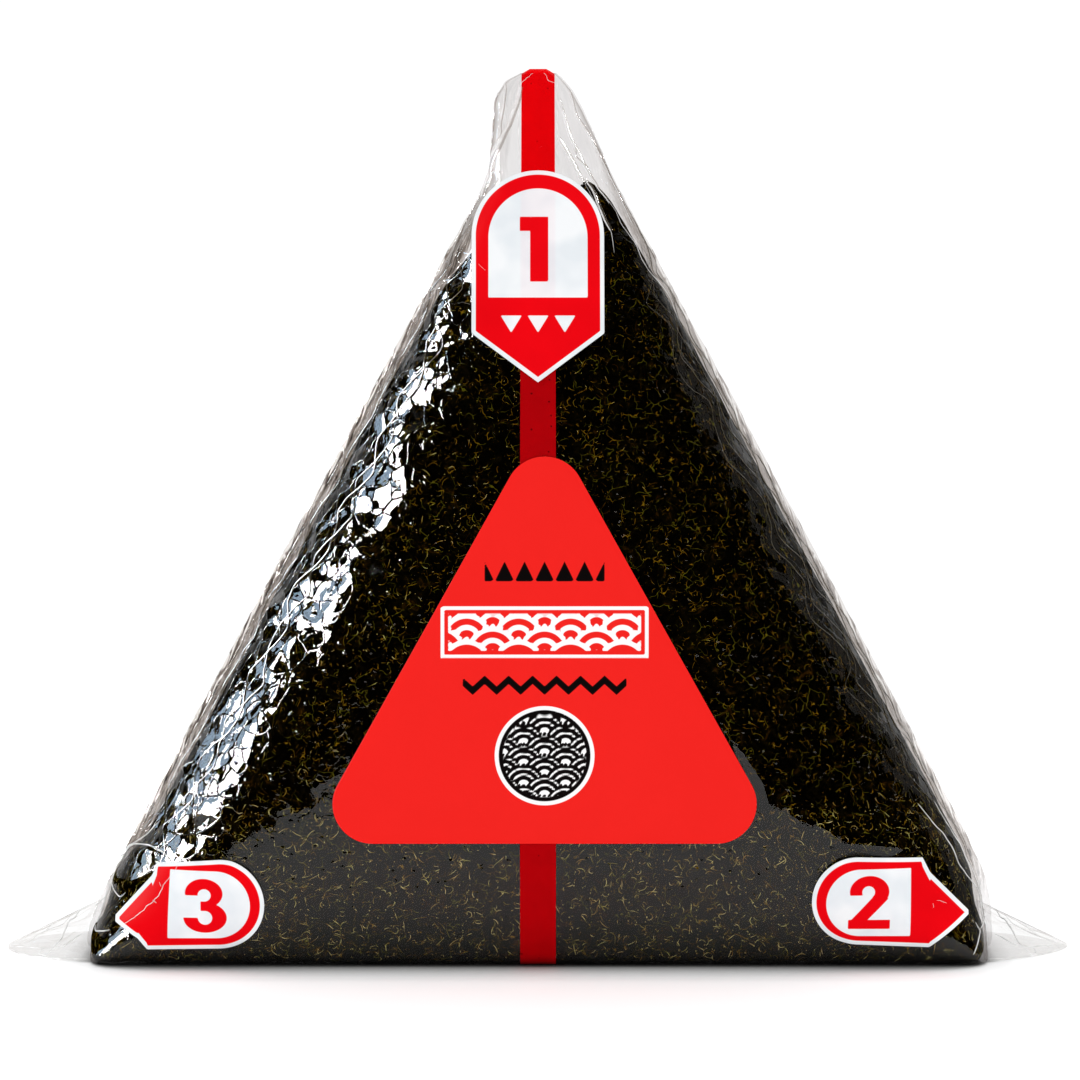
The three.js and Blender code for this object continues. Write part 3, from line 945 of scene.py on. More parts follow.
# %% [markdown]
# ## Film tails
#
# At the two bottom corners the folded film ends in a flat tail that rests on the table. A
# tail is a low tent: its half depth follows a superellipse from the root to the tip, its
# ridge falls evenly, and folds fan out from the corner.

# %% Tails
TAIL_ROOT = 45.9
TAIL_TIP = 55.45
TAIL_ROOT_HEIGHT = 5.0
TAIL_TIP_HEIGHT = 0.3
TAIL_HALF_DEPTH = 9.5


def tail(side, roundness, seed, rows=120, columns=220):
    """Sections across the tail go once round: over the tent, then back under it."""
    run = np.linspace(0, 1, rows)[:, None]
    turn = np.linspace(-1, 1, columns)[None, :]
    depth = TAIL_HALF_DEPTH * np.maximum(1 - run**roundness, 0) ** (1 / roundness)
    depth = np.maximum(depth, 0.2)
    ridge = TAIL_ROOT_HEIGHT + (TAIL_TIP_HEIGHT - TAIL_ROOT_HEIGHT) * run
    over = np.abs(turn) * 2
    top = over <= 1
    spread = np.where(top, over, 2 - over)
    tent = 0.55 * (1 - spread) ** 0.8 + 0.45 * (1 - spread**2)
    fan = np.arctan2(spread * 1.4, run + 0.25) * 2.2
    fold = triangle_wave(fan + 0.3 * noise(run * 4, spread * 4, side, 1.0, seed)) - 0.5
    fold = fold + 0.6 * noise(run * 5, spread * 6 * np.sign(turn), side, 1.0, seed + 1)
    lift = 0.16 * ridge * fold * np.sin(np.pi * np.clip(spread, 0, 1))
    lift = lift * np.sin(np.pi * np.clip(run, 0.03, 1))
    z = np.where(top, 0.12 + (ridge - 0.12) * tent + lift, 0.06 + 0.05 * spread)
    x = side * (TAIL_ROOT + (TAIL_TIP - TAIL_ROOT) * run + 0 * turn)
    y = np.sign(turn) * depth * spread
    points = np.stack(np.broadcast_arrays(x, y, np.maximum(z, 0.06)), axis=-1)
    upward = np.where(top, 1, -1)[..., None] * [0, 0, 1]
    return {"points": points, "outward": grid_normals(points, upward)}


tails = {"film_tail_left": tail(-1, 1.9, 91), "film_tail_right": tail(1, 1.5, 95)}
tail_film = film_material("folded_film_tails", clear="#fbfbfb", glancing="#e6e3e1", mirror_rise=0.15)
for name, sheet in tails.items():
    piece = new_mesh(name, sheet["points"], grid_faces(*sheet["points"].shape[:2]))
    weld(piece, turn_out=True)
    finish_piece(piece, tail_film, "pack", "film_pack")

# %% [markdown]
# ## Creases
#
# Where film is pinched into a sharp fold, it stands up as a thin bead and scatters light, so
# creases show as fine white lines. Each is a tapering tube with five sides along a route
# that is given by a few points and laid on a sheet, a tail or a label.

# %% Crease tubes
TUBE_SIDES = 5
CREASE_STEPS = 40

# Routes on the bare peak and the lower corners, as (x, z) on the front sheets, and radii.
PEAK_CREASES = [
    (0.15, [(-1.85, 89.6), (-2.3, 87.6), (-3.1, 85.5), (-4.0, 83.4), (-4.7, 81.7), (-5.0, 80.0),
            (-5.8, 78.0)]),
    (0.07, [(-3.3, 89.8), (-3.55, 87.6), (-3.9, 85.5), (-3.8, 84.6), (-4.5, 82.9), (-4.7, 82.0)]),
    (0.06, [(-4.15, 89.0), (-4.4, 87.6), (-4.5, 85.2), (-4.9, 82.9)]),
    (0.09, [(-4.9, 80.4), (-4.3, 80.7), (-3.8, 80.6)]),
    (0.12, [(1.9, 84.3), (2.7, 82.9), (3.4, 81.7), (4.1, 80.3), (4.6, 79.3)]),
    (0.08, [(2.1, 88.4), (2.65, 86.4), (3.1, 84.6), (3.6, 83.4), (4.7, 81.3), (5.9, 79.2), (7.3, 77.4)]),
    (0.07, [(3.2, 89.2), (3.85, 86.4), (4.8, 85.0), (5.5, 83.6), (6.4, 81.7), (8.0, 78.7), (9.6, 75.1)]),
    (0.08, [(3.6, 83.4), (3.7, 82.2), (5.0, 81.0)]),
    (0.10, [(4.6, 80.1), (5.6, 78.6), (6.4, 76.4), (7.3, 74.6)]),
    (0.045, [(1.97, 90.6), (1.97, 88.0), (1.96, 84.0), (1.96, 81.2)]),
    (0.045, [(-1.97, 90.6), (-1.97, 88.0), (-1.96, 84.0), (-1.96, 81.2)]),
    (0.025, [(4.7, 79.6), (6.2, 76.8), (7.4, 74.6), (7.7, 72.4)]),
    (0.03, [(6.0, 79.0), (7.6, 77.3), (8.6, 75.2), (10.8, 71.6), (13.4, 68.2), (14.6, 65.0)]),
    (0.03, [(-7.4, 76.6), (-8.6, 74.4), (-10.0, 73.2), (-11.2, 70.6)]),
]
CORNER_CREASES = [
    (0.07, [(-44.3, 8.1), (-44.9, 5.2), (-45.6, 3.4), (-46.3, 2.4), (-46.1, 0.7)]),
    (0.08, [(-46.3, 2.4), (-44.9, 3.2), (-43.6, 3.7)]),
    (0.08, [(-44.4, 8.1), (-43.0, 10.0), (-41.2, 11.6), (-39.5, 12.1), (-37.8, 11.6), (-37.0, 10.6)]),
    (0.06, [(-44.4, 8.1), (-42.0, 11.2), (-40.0, 13.0), (-38.6, 14.6)]),
    (0.06, [(-44.6, 7.4), (-42.7, 6.6), (-41.5, 7.8)]),
    (0.07, [(-44.9, 5.6), (-45.8, 4.9), (-46.6, 4.2)]),
    (0.07, [(45.0, 8.6), (45.5, 7.1), (45.7, 4.2), (46.2, 3.2), (46.2, 1.0)]),
    (0.07, [(44.6, 4.3), (45.2, 3.4), (44.2, 1.4)]),
    (0.06, [(45.2, 3.5), (46.4, 3.9), (46.9, 4.0)]),
    (0.06, [(38.5, 16.6), (41.3, 13.2), (43.0, 10.0), (45.3, 7.1), (46.3, 4.0)]),
    (0.05, [(40.4, 16.4), (43.0, 12.0), (45.0, 8.6), (46.2, 5.4)]),
]
# Routes on the tails, as shares of the way to the tip and from the ridge down to the table.
TAIL_CREASES = [
    (0.07, [(0.10, 0.02), (0.45, 0.02), (0.8, 0.02), (0.99, 0.05)]),
    (0.07, [(0.02, 0.98), (0.4, 0.98), (0.75, 0.98), (0.98, 0.9)]),
    (0.09, [(0.44, 0.82), (0.34, 0.45), (0.26, 0.22), (0.20, 0.04)]),
    (0.06, [(0.44, 0.82), (0.62, 0.72), (0.8, 0.7), (0.97, 0.6)]),
    (0.08, [(0.44, 0.82), (0.30, 0.76), (0.12, 0.66)]),
    (0.05, [(0.44, 0.82), (0.50, 0.95), (0.58, 0.93), (0.56, 0.8), (0.48, 0.78)]),
    (0.05, [(0.30, 0.1), (0.5, 0.35), (0.75, 0.5), (0.95, 0.5)]),
    (0.05, [(0.5, 0.1), (0.66, 0.3), (0.82, 0.4)]),
]

print("creases:", len(PEAK_CREASES), "on the peak,", len(CORNER_CREASES), "low,", len(TAIL_CREASES), "a tail")

# %% Tubes along routes


def smooth_route(route, steps=CREASE_STEPS):
    """A route through its points at even steps: straight runs, averaged over their neighbours."""
    route = np.array(route, float)
    length = np.concatenate([[0], np.cumsum(np.linalg.norm(np.diff(route, axis=0), axis=1))])
    t = np.linspace(0, length[-1], steps)
    path = np.stack([np.interp(t, length, route[:, k]) for k in range(2)], axis=1)
    for _ in range(3):
        path[1:-1] = (path[:-2] + 2 * path[1:-1] + path[2:]) / 4
    return path


def on_sheet(sheet, x, z):
    """Row and column of a front sheet at (x, z), from the formulas that laid it out."""
    wall, _, columns = FRONT_GRID
    row = (FILM_TOP - z) / (FILM_TOP - FILM_FOOT - EDGE_HEIGHT) * (wall - 1)
    width, edge, _, middle = sheet_layout(sheet["side"], z, 1.0)
    inside = np.clip(width - sheet["side"] * (x - middle), 0.02, width)
    return row, (1 - (inside / width) ** (1 / SEAM_CROWDING)) * (columns - 1)


def tube(points, outward, radius):
    """Rings round a path, in the plane of its normal and its cross direction, shut at both ends."""
    tangent = np.gradient(points, axis=0)
    tangent /= np.maximum(np.linalg.norm(tangent, axis=1, keepdims=True), 1e-9)
    cross = np.cross(tangent, outward)
    cross /= np.maximum(np.linalg.norm(cross, axis=1, keepdims=True), 1e-9)
    run = np.linspace(0, 1, len(points))
    thick = radius * np.clip(np.sin(np.pi * run), 0, 1) ** 0.35 * (run > 0) * (run < 1)
    angle = np.linspace(0, 2 * np.pi, TUBE_SIDES + 1)[:-1]
    ring = np.cos(angle)[None, :, None] * outward[:, None] + np.sin(angle)[None, :, None] * cross[:, None]
    return points[:, None] + ring * thick[:, None, None]


def crease_piece(name, tubes, material):
    """All the tubes of one kind in one mesh."""
    points = np.concatenate([part.reshape(-1, 3) for part in tubes])
    faces, first = [], 0
    for part in tubes:
        faces.append(grid_faces(*part.shape[:2], closed=True) + first)
        first += part.shape[0] * part.shape[1]
    piece = new_mesh(name, points, np.concatenate(faces))
    weld(piece, turn_out=True, distance=0.0004 * MM)
    return finish_piece(piece, material, "pack")


def front_sheet(x):
    """The front sheet on the side of x."""
    return sheets["film_front_left" if x < 0 else "film_front_right"]


def wobbled(path, height, size, seed):
    """A route whose points are moved to and fro by noise of a height and a size in mm."""
    x, z = path.T
    return path + height * np.stack([noise(x, z, 0, size, seed), noise(x, z, 9, size, seed + 1)], axis=1)


def laid_tube(sheet, row, column, radius, proud):
    """A tube along rows and columns of a sheet, its middle a share of its radius off the sheet."""
    outward = read_grid(sheet["outward"], row, column)
    return tube(read_grid(sheet["points"], row, column) + proud * radius * outward, outward, radius)


def sheet_crease(radius, route, shift=0.0):
    """A tube along a route on the front sheet of its side, with a slight seeded wobble."""
    path = wobbled(smooth_route(route), 0.05, 0.9, 81) + [shift, 0]
    sheet = front_sheet(route[0][0])
    return laid_tube(sheet, *on_sheet(sheet, path[:, 0], path[:, 1]), radius, 0.9)


def tail_crease(sheet, radius, route):
    """A tube along a route on the front side of a tail."""
    path = smooth_route(route)
    rows, columns = sheet["points"].shape[:2]
    return laid_tube(sheet, path[:, 0] * (rows - 1), (0.5 - path[:, 1] / 4) * (columns - 1), radius, 0.4)


print("a crease has", CREASE_STEPS * TUBE_SIDES, "points")

# %% Crease material


def crease_material():
    """Stress-whitened film: half see-through, half pale diffuse, with a soft gloss."""
    material, tree = new_material("stress_whitened_crease")
    place = add(tree, "TexCoord").outputs["Object"]
    broken = add(tree, "TexNoise", {"Vector": place, "Scale": 1 / (1.2 * MM), "Detail": 2.0})
    share = add(tree, "MapRange", {"Value": broken.outputs["Fac"], "From Min": 0.35,
                                   "From Max": 0.65, "To Min": 0.6, "To Max": 1.0})
    front = add(tree, "BsdfDiffuse", {"Color": linear("#ffffff")})
    back = add(tree, "BsdfTranslucent", {"Color": linear("#ffffff")})
    body = add(tree, "MixShader", {0: 0.35, 1: front.outputs[0], 2: back.outputs[0]})
    through = add(tree, "BsdfTransparent", {"Color": linear("#e6e3e0")})
    both = add(tree, "MixShader", {0: share.outputs[0], 1: through.outputs[0], 2: body.outputs[0]})
    return coated(material, both)


whitened = crease_material()
crease_tubes = [sheet_crease(*entry) for entry in PEAK_CREASES + CORNER_CREASES]
crease_tubes += [tail_crease(sheet, *entry) for sheet in tails.values() for entry in TAIL_CREASES]
crease_piece("film_creases", crease_tubes, whitened)

# %% [markdown]
# ### Pleats along the turn of the side
#
# Beside the facets a pleat runs down each side like a chain: it swings in and out about a
# line that keeps its distance from the seam. Its film is tinted nearly black, a painted shade
# that draws it as a dark line, and it glints where its mirror catches a lamp.

# %% Pleats
PLEAT_LENGTH = 8.0
# Side, radius, distance from the seam, swing, phase, and the heights of the two ends.
PLEATS = [
    (-1, 0.08, 4.0, 0.9, 0.0, 74, 9),
    (-1, 0.07, 4.3, -0.9, 0.5, 74, 9),
    (-1, 0.05, 1.5, 0.3, 1.0, 79, 9),
    (1, 0.05, 1.2, 0.3, 1.0, 79, 9),
    (1, 0.05, 0.8, 0.2, 3.0, 79, 9),
    (1, 0.03, 1.9, 0.4, 2.0, 76, 12),
    (1, 0.03, 2.6, 0.6, 4.0, 74, 14),
    (1, 0.025, 3.6, 0.9, 5.0, 72, 20),
]


def pleat_route(side, offset, swing, phase, top, bottom, steps=420):
    """Distance inside the seam against height: a bent wave about a line beside the seam."""
    z = np.linspace(top, bottom, steps)
    wave = np.sin(2 * np.pi * z / PLEAT_LENGTH + phase + 1.8 * noise(z, side, phase, 9.0, 85))
    wave = 2 / np.pi * np.arcsin(0.96 * wave)
    inside = offset * step_up(86 - z, 0, 26) + swing * wave + 0.35 * noise(z, side, phase, 1.6, 86)
    return np.maximum(inside, 0.3), z


def pleat(side, radius, offset, swing, phase, top, bottom):
    """A thin tube along a pleat's route on the front sheet of its side."""
    sheet = front_sheet(side)
    inside, z = pleat_route(side, offset, swing, phase, top, bottom)
    width, _, _, middle = sheet_layout(side, z, 1.0)
    return laid_tube(sheet, *on_sheet(sheet, middle + side * (width - inside), z), radius, 0.5)


print("pleats:", len(PLEATS))

# %% Dark pleats and shaded beads


def pleat_material(name, tint, rise, cloud):
    """Tinted bead of film, painted shade of a crease: see-through in a tint, a share of it cloudy, with a
    stronger mirror than the sheet.
    """
    material, tree = new_material(name)
    facing = add(tree, "LayerWeight", {"Blend": 0.35})
    share = add(tree, "Math", {0: facing.outputs["Facing"], 1: rise, 2: 0.10}, operation="MULTIPLY_ADD")
    through = add(tree, "BsdfTransparent", {"Color": linear(tint)})
    haze = add(tree, "BsdfDiffuse", {"Color": linear("#c0b090")})
    body = add(tree, "MixShader", {0: cloud, 1: through.outputs[0], 2: haze.outputs[0]})
    mirror = add(tree, "BsdfAnisotropic", {"Color": (1, 1, 1, 1), "Roughness": 0.12})
    both = add(tree, "MixShader", {0: share.outputs[0], 1: body.outputs[0], 2: mirror.outputs[0]})
    return coated(material, both)


# Painted shade: the nearly black tint draws each pleat as a dark line across the glinting edge.
dark_pleat_bead = pleat_material("dark_tinted_pleat", "#5c646c", 0.5, 0.22)
crease_piece("side_pleats", [pleat(*entry) for entry in PLEATS], dark_pleat_bead)

# A crease in pale film has a shaded side too, painted as a faintly grey bead beside each white one.
shaded_bead = pleat_material("shaded_film_fold", "#f0eeed", 0.05, 0.06)
shades = [sheet_crease(radius, route, 2.2 * radius) for radius, route in PEAK_CREASES if radius > 0.05]
crease_piece("crease_shades", shades, shaded_bead)

# %% [markdown]
# ## Tear strip
#
# The strip is a red tape laminated onto the film, a little see-through, so that it is
# brighter over the bare peak than over the dark nori. It is one closed band round the pack.

# %% Tear strip
STRIP_HALF = 1.8
STRIP_LIFT = 0.10
STRIP_TOP = 91.42
STRIP_FOOT = 0.05


def strip_points(steps=330, columns=17):
    """The loop in the plane x = 0: up the front, over the peak, down the back, under the base."""
    down = np.linspace(0, 1, steps)[:, None]
    turn = np.linspace(0, np.pi / 2, BASE_TURN_ROWS + 1)[1:, None]
    under = np.ones((UNDER_ROWS, 1))
    z = np.concatenate([
        STRIP_TOP - (STRIP_TOP - EDGE_HEIGHT - 2 * STRIP_FOOT) * down,
        STRIP_FOOT + (EDGE_HEIGHT + STRIP_FOOT) * (1 - np.sin(turn)),
        STRIP_FOOT * under,
    ])
    turned = np.concatenate([0 * down, 1 - np.cos(turn), under])
    shut = np.concatenate([1 + 0 * down, 1 + 0 * turn, np.linspace(1, 0, UNDER_ROWS + 1)[1:, None]])
    u = np.linspace(-1, 1, columns)[None, :]
    x = u * STRIP_HALF * (1 - 0.05 * step_up(z, 40, 91))
    body = front_depth(x, np.minimum(z, TAPER_TOP - 0.02)) + FILM_GAP + SEAM_HALF_THICKNESS + STRIP_LIFT
    y = (body - EDGE_TURN * turned) * np.sqrt(np.clip((STRIP_TOP - z) / 0.45, 0, 1)) * shut
    shoulder_drop = 0.5 * step_up(z, STRIP_TOP - 0.8, STRIP_TOP) * np.clip(np.abs(u) * 2 - 1, 0, 1)
    x, y, z = np.broadcast_arrays(x, y, z - shoulder_drop)
    ripple = (0.04 * noise(x, y, z, (2.0, 2.0, 2.6), 21) + 0.05 * triangle_wave((z + 0.5 * x) / 5.7)) * shut
    ripple = ripple * step_up(y, 0.3, 2) * step_up(88 - z, 0, 6)
    front = np.stack([x, -(y + ripple), z], axis=-1)[::-1]
    back = np.stack([x, y + 0.2 * ripple - 0.02, z], axis=-1)[1:-1]
    return np.concatenate([front, back])


strip_grid = strip_points()
print("strip grid", strip_grid.shape)

# %% Strip material


def strip_material():
    """Translucent red tape: part red print with a faint gloss, part red see-through."""
    material, tree = new_material("red_tear_tape")
    place = add(tree, "TexCoord").outputs["Object"]
    tremble = add(tree, "TexNoise", {"Vector": place, "Scale": 1 / (1.3 * MM), "Detail": 3.0})
    bump = add(tree, "Bump", {"Height": tremble.outputs["Fac"], "Distance": 0.10 * MM, "Strength": 0.5})
    specks = add(tree, "TexVoronoi", {"Vector": place, "Scale": 1 / (1.1 * MM)})
    dark = add(tree, "MapRange", {"Value": specks.outputs["Distance"], "From Min": 0.07,
                                  "From Max": 0.13, "To Min": 0.75, "To Max": 0.0})
    ink = add(tree, "Mix", {"Factor": tremble.outputs["Fac"], 6: linear("#e6000d"),
                            7: linear("#ff000f")}, data_type="RGBA")
    ink = add(tree, "Mix", {"Factor": dark.outputs[0], 6: ink.outputs[2], 7: linear("#7a0008")},
              data_type="RGBA")
    body = add(tree, "BsdfPrincipled", {
        "Base Color": ink.outputs[2], "Roughness": 0.3, "IOR": 1.5, "Specular IOR Level": 0.03,
        "Normal": bump.outputs["Normal"]})
    through = add(tree, "BsdfTransparent", {"Color": linear("#ff0812")})
    both = add(tree, "MixShader", {0: 0.60, 1: body.outputs[0], 2: through.outputs[0]})
    return coated(material, both)


strip_quads = grid_faces(strip_grid.shape[1], strip_grid.shape[0], closed=True)
strip = new_mesh("tear_tape", strip_grid.transpose(1, 0, 2), strip_quads)
weld(strip)
finish_piece(strip, strip_material(), "strip", "tear_strip")

# %% [markdown]
# ## Labels
#
# The labels are printed and die-cut. They are stiffer than the film, so they bridge its
# small folds. Each is a grid of chords between the two sides of its outline, given a wall
# by Solidify. The print is a signed distance stored on the points: negative is white ink.
# The material only looks at its sign, so edges stay crisp however coarse the grid is.

# %% Print shapes
LABEL_LIFT = 0.50
LABEL_WRAP = 0.95
LABEL_THICKNESS = 0.12
BORDER = 0.42


def box(x, z, x0, x1, z0, z1):
    """Distance to an upright rectangle, negative inside."""
    return np.maximum(np.abs(x - (x0 + x1) / 2) - (x1 - x0) / 2, np.abs(z - (z0 + z1) / 2) - (z1 - z0) / 2)


def oval(x, z, cx, cz, rx, rz):
    """Distance to an ellipse, near enough close to its edge."""
    return (np.hypot((x - cx) / rx, (z - cz) / rz) - 1) * min(rx, rz)


def numeral_1(x, z):
    """A stem and a square flag, 6.5 mm high."""
    return np.minimum(box(x, z, -0.80, 1.04, 69.55, 76.09), box(x, z, -1.85, -0.75, 74.65, 76.09))


def numeral_2(x, z):
    """Bowl, slanted stroke and foot, 5.5 mm high, about its own middle."""
    outer = oval(x, z, 0, 1.10, 2.0, 1.65)
    bowl = np.maximum(outer, -oval(x, z, -0.10, 1.08, 0.64, 0.62))
    bowl = np.maximum(bowl, -box(x, z, -9, 0.3, -9, 0.75))
    right_of = (z - 0.65) * 0.675 - (x - 0.41) * 0.7376
    left_of = (x - 1.9) * 0.724 - (z - 0.37) * 0.690
    slant = np.maximum(np.maximum(right_of, left_of), np.maximum(-2.75 - z, np.minimum(z - 0.4, outer)))
    slant = np.maximum(np.maximum(slant, x - 2.0), -2.12 - x)
    foot = box(x, z, -2.12, 2.12, -2.75, -1.78)
    return np.minimum(np.minimum(np.maximum(bowl, -0.2 - z), slant), foot)


def numeral_3(x, z):
    """Two bowls open to the left and a tongue between, 5.5 mm high, about its own middle."""
    upper = np.maximum(oval(x, z, -0.10, 1.28, 1.92, 1.49), -oval(x, z, -0.05, 1.10, 0.66, 0.62))
    lower = np.maximum(oval(x, z, 0.0, -1.18, 2.2, 1.59), -oval(x, z, 0.0, -1.20, 0.72, 0.71))
    bowls = np.maximum(np.minimum(upper, lower), -box(x, z, -9, -0.05, -1.19, 1.06))
    return np.minimum(bowls, box(x, z, -0.44, 0.8, -0.49, 0.48))


def arrowheads(x, z):
    """Three plain triangles that point down, well apart."""
    across = np.abs(x - np.clip(np.round(x / 2.7), -1, 1) * 2.7)
    return np.maximum((across - (z - 64.45) * 0.62) * 0.85, z - 66.15)


print(f"inside the stem of the 1: {numeral_1(0.1, 72.0):.2f} mm")

# %% White print of the tags


def tag_print(x, z):
    """White border, white arched field less its numeral, and the arrowheads."""
    border = -tag_distance(x, z) - BORDER
    centre = 73.96
    field = np.where(z > centre, np.hypot(x, z - centre), np.abs(x)) - 5.0
    field = np.maximum(field, 67.96 - z)
    return np.minimum(np.minimum(border, np.maximum(field, -numeral_1(x, z))), arrowheads(x, z))


def corner_tag_print(side, x, z):
    """White border and a white field with a round inner end, less its numeral."""
    out = side * x
    border = -corner_tag_distance(side, out, z) - BORDER
    middle, outer_side, lean = (7.1, 37.6, 0.0) if side > 0 else (6.85, 37.3, 0.05)
    up = np.abs(z - middle)
    centre, half = 32.5, 3.46
    field = np.where(out < centre, np.hypot(out - centre, up), up) - half
    field = np.maximum(field, out - outer_side + lean * (z - middle))
    numeral = numeral_2(x - 33.40, z - 7.15) if side > 0 else numeral_3(x + 33.60, z - 6.75)
    return np.minimum(border, np.maximum(field, -numeral))


print(f"in the red rim of tag 1: {tag_print(6.0, 72.0):.2f} mm")

# %% [markdown]
# ### The sticker's design
#
# The large sticker carries traditional patterns in white and black. A white band holds
# seigaiha, the overlapping waves of the blue sea, between a row of black uroko, which are
# scale triangles, and a black mountain zigzag. Below is a round crest of the same waves.
# In seigaiha every scale is covered by the scales of the row below it, so the rows are laid
# from the top down and a lower row overwrites the one above.

# %% Sticker print
CREST_MIDDLE = 22.2


def waves(x, z, radius, line, rings, foot, rows):
    """Distance to the ring lines of seigaiha scales, lower rows on top of higher ones."""
    result = np.full(np.broadcast(x, z).shape, radius)
    for row in range(rows, -1, -1):
        shift = radius * (row % 2)
        cx = np.round((x - shift) / (2 * radius)) * 2 * radius + shift
        distance = np.hypot(x - cx, z - (foot + row * radius / 2))
        ring = np.abs(distance[..., None] - radius * np.array(rings)).min(axis=-1) - line / 2
        result = np.where(distance < radius, ring, result)
    return result


def sticker_white(x, z):
    """White ink: the wave band with its two rules, and the disc of the crest."""
    x = x - STICKER_MIDDLE
    band = box(x, z, -10.4, 10.4, 32.0, 37.2)
    scales = np.maximum(waves(x, z, 2.6, 0.52, (0.0, 0.46, 0.90), 30.0, 8), band + 0.75)
    rules = np.maximum(band, -(band + 0.36))
    return np.minimum(np.minimum(scales, rules), np.hypot(x, z - CREST_MIDDLE) - 5.0)


def sticker_black(x, z):
    """Black ink: triangles above, a zigzag below, and the waves inside the crest."""
    x = x - STICKER_MIDDLE
    uroko = np.maximum(np.abs((x + 1.0) % 2.0 - 1.0) * 0.86 - (41.7 - z) * 0.42, 39.7 - z)
    uroko = np.maximum(uroko, np.abs(x) - 6.0)
    zigzag = np.abs(z - 29.3 - 1.1 * (triangle_wave(x / 2.4) - 0.5)) * 0.74 - 0.32
    zigzag = np.maximum(zigzag, np.abs(x) - 8.2)
    from_middle = np.hypot(x, z - CREST_MIDDLE)
    crest = np.maximum(waves(x, z, 2.1, 0.40, (0.0, 0.40, 0.70, 0.98), 16.0, 12), from_middle - 4.2)
    rim = np.abs(from_middle - 4.4) - 0.2
    return np.minimum(np.minimum(uroko, zigzag), np.minimum(crest, rim))


across = np.linspace(-24, 24, 400)
print(f"black in a row through the zigzag: {np.mean(sticker_black(across, 29.3 + 0 * across) < 0):.0%}")

# %% Label meshes


def label_chords(outline, chords, columns):
    """Points between the two sides of an outline, crowded towards its two ends."""
    start, end = outline((1 - np.cos(np.pi * np.linspace(0, 1, chords))) / 2)
    share = np.linspace(0, 1, columns)[None, :, None]
    flat = start[:, None, :] * (1 - share) + end[:, None, :] * share
    return flat[..., 0], flat[..., 1]


def arc(radius, height):
    """Half the chord of a circle at a height above its centre, and 0 beyond the circle."""
    return np.sqrt(np.clip(radius**2 - height**2, 0, None))


def sticker_outline(t):
    """Level chords of the rounded triangle from its foot to its apex."""
    z = STICKER_FOOT + (APEX_UP + STICKER_RADIUS - STICKER_FOOT) * t
    foot, top = z - CORNER_UP, z - APEX_UP
    touch = STICKER_RADIUS * np.sin(STICKER_LEAN)
    half = (STICKER_APEX - z) * STICKER_HALF_BASE / (STICKER_APEX - STICKER_FOOT)
    half = np.where(foot < touch, CORNER_OUT + arc(STICKER_RADIUS, foot), half)
    half = np.where(top > touch, arc(STICKER_RADIUS, top), half)
    return np.stack([STICKER_MIDDLE - half, z], 1), np.stack([STICKER_MIDDLE + half, z], 1)


def tag_outline(t):
    """Level chords of the round-topped tag from its point to its arch."""
    z = TAG_POINT + (TAG_TOP - TAG_POINT) * t
    half = TAG_HALF_WIDTH * np.clip((z - TAG_POINT) / (TAG_SHOULDER - TAG_POINT), 0, 1)
    half = np.where(z > TAG_ARCH, arc(TAG_HALF_WIDTH, z - TAG_ARCH), half)
    return np.stack([-half, z], 1), np.stack([half, z], 1)


def corner_tag_outline(side):
    """Upright chords of a lying tag from its round end to its tip."""
    tag = CORNER_TAGS[side]

    def chords(t):
        out = tag["start"] + (tag["end"] - tag["start"]) * t
        upper, lower = corner_tag_edges(side, out)
        share = np.clip((tag["round"] - out) / (tag["round"] - tag["start"]), 0, 1)
        half = (upper - lower) / 2 * np.sqrt(1 - share**2)
        middle = (upper + lower) / 2
        return np.stack([side * out, middle - half], 1), np.stack([side * out, middle + half], 1)
    return chords


start, end = sticker_outline(np.array([0.5]))
print(f"the sticker is {end[0, 0] - start[0, 0]:.1f} mm wide half way up")

# %% Label material


def printed(tree, attribute):
    """1 where a stored print distance is negative and 0 elsewhere, over an edge of 0.06 mm."""
    distance = add(tree, "Attribute", attribute_name=attribute)
    return add(tree, "MapRange", {
        "Value": distance.outputs["Fac"], "From Min": -0.03, "From Max": 0.03,
        "To Min": 1.0, "To Max": 0.0}).outputs[0]


def label_material(name, ink, paper, strip_shows=0.0, black=False):
    """Coated paper label: print colours by stored distances, and a glimmer of the strip."""
    material, tree = new_material(name)
    place = add(tree, "TexCoord").outputs["Object"]
    haze = add(tree, "TexNoise", {"Vector": place, "Scale": 1 / (5 * MM), "Detail": 2.0})
    blotch = add(tree, "MapRange", {"Value": haze.outputs["Fac"], "From Min": 0.4, "From Max": 0.6})
    field = add(tree, "Mix", {"Factor": blotch.outputs[0], 6: linear(paper[0]), 7: linear(paper[1])},
                data_type="RGBA")
    aside = add(tree, "SeparateXYZ", {0: place})
    aside = add(tree, "Math", {0: aside.outputs["X"]}, operation="ABSOLUTE")
    glimmer = add(tree, "MapRange", {"Value": aside.outputs[0], "From Min": 1.6 * MM,
                                     "From Max": 1.9 * MM, "To Min": strip_shows, "To Max": 0.0})
    field = add(tree, "Mix", {"Factor": glimmer.outputs[0], 6: field.outputs[2],
                              7: linear("#f09aa8")}, data_type="RGBA")
    red = add(tree, "Mix", {"Factor": haze.outputs["Fac"], 6: linear(ink[0]), 7: linear(ink[1])},
              data_type="RGBA")
    colour = add(tree, "Mix", {
        "Factor": printed(tree, "white_ink"), 6: red.outputs[2], 7: field.outputs[2]}, data_type="RGBA")
    if black:
        colour = add(tree, "Mix", {
            "Factor": printed(tree, "black_ink"), 6: colour.outputs[2], 7: linear("#0c0808")},
            data_type="RGBA")
    grain = add(tree, "TexNoise", {"Vector": place, "Scale": 1 / (2.5 * MM), "Detail": 2.0})
    bump = add(tree, "Bump", {"Height": grain.outputs["Fac"], "Distance": 0.05 * MM, "Strength": 0.25})
    shader = add(tree, "BsdfPrincipled", {
        "Base Color": colour.outputs[2], "Roughness": 0.35, "IOR": 1.5, "Specular IOR Level": 0.01,
        "Normal": bump.outputs["Normal"]})
    return coated(material, shader)


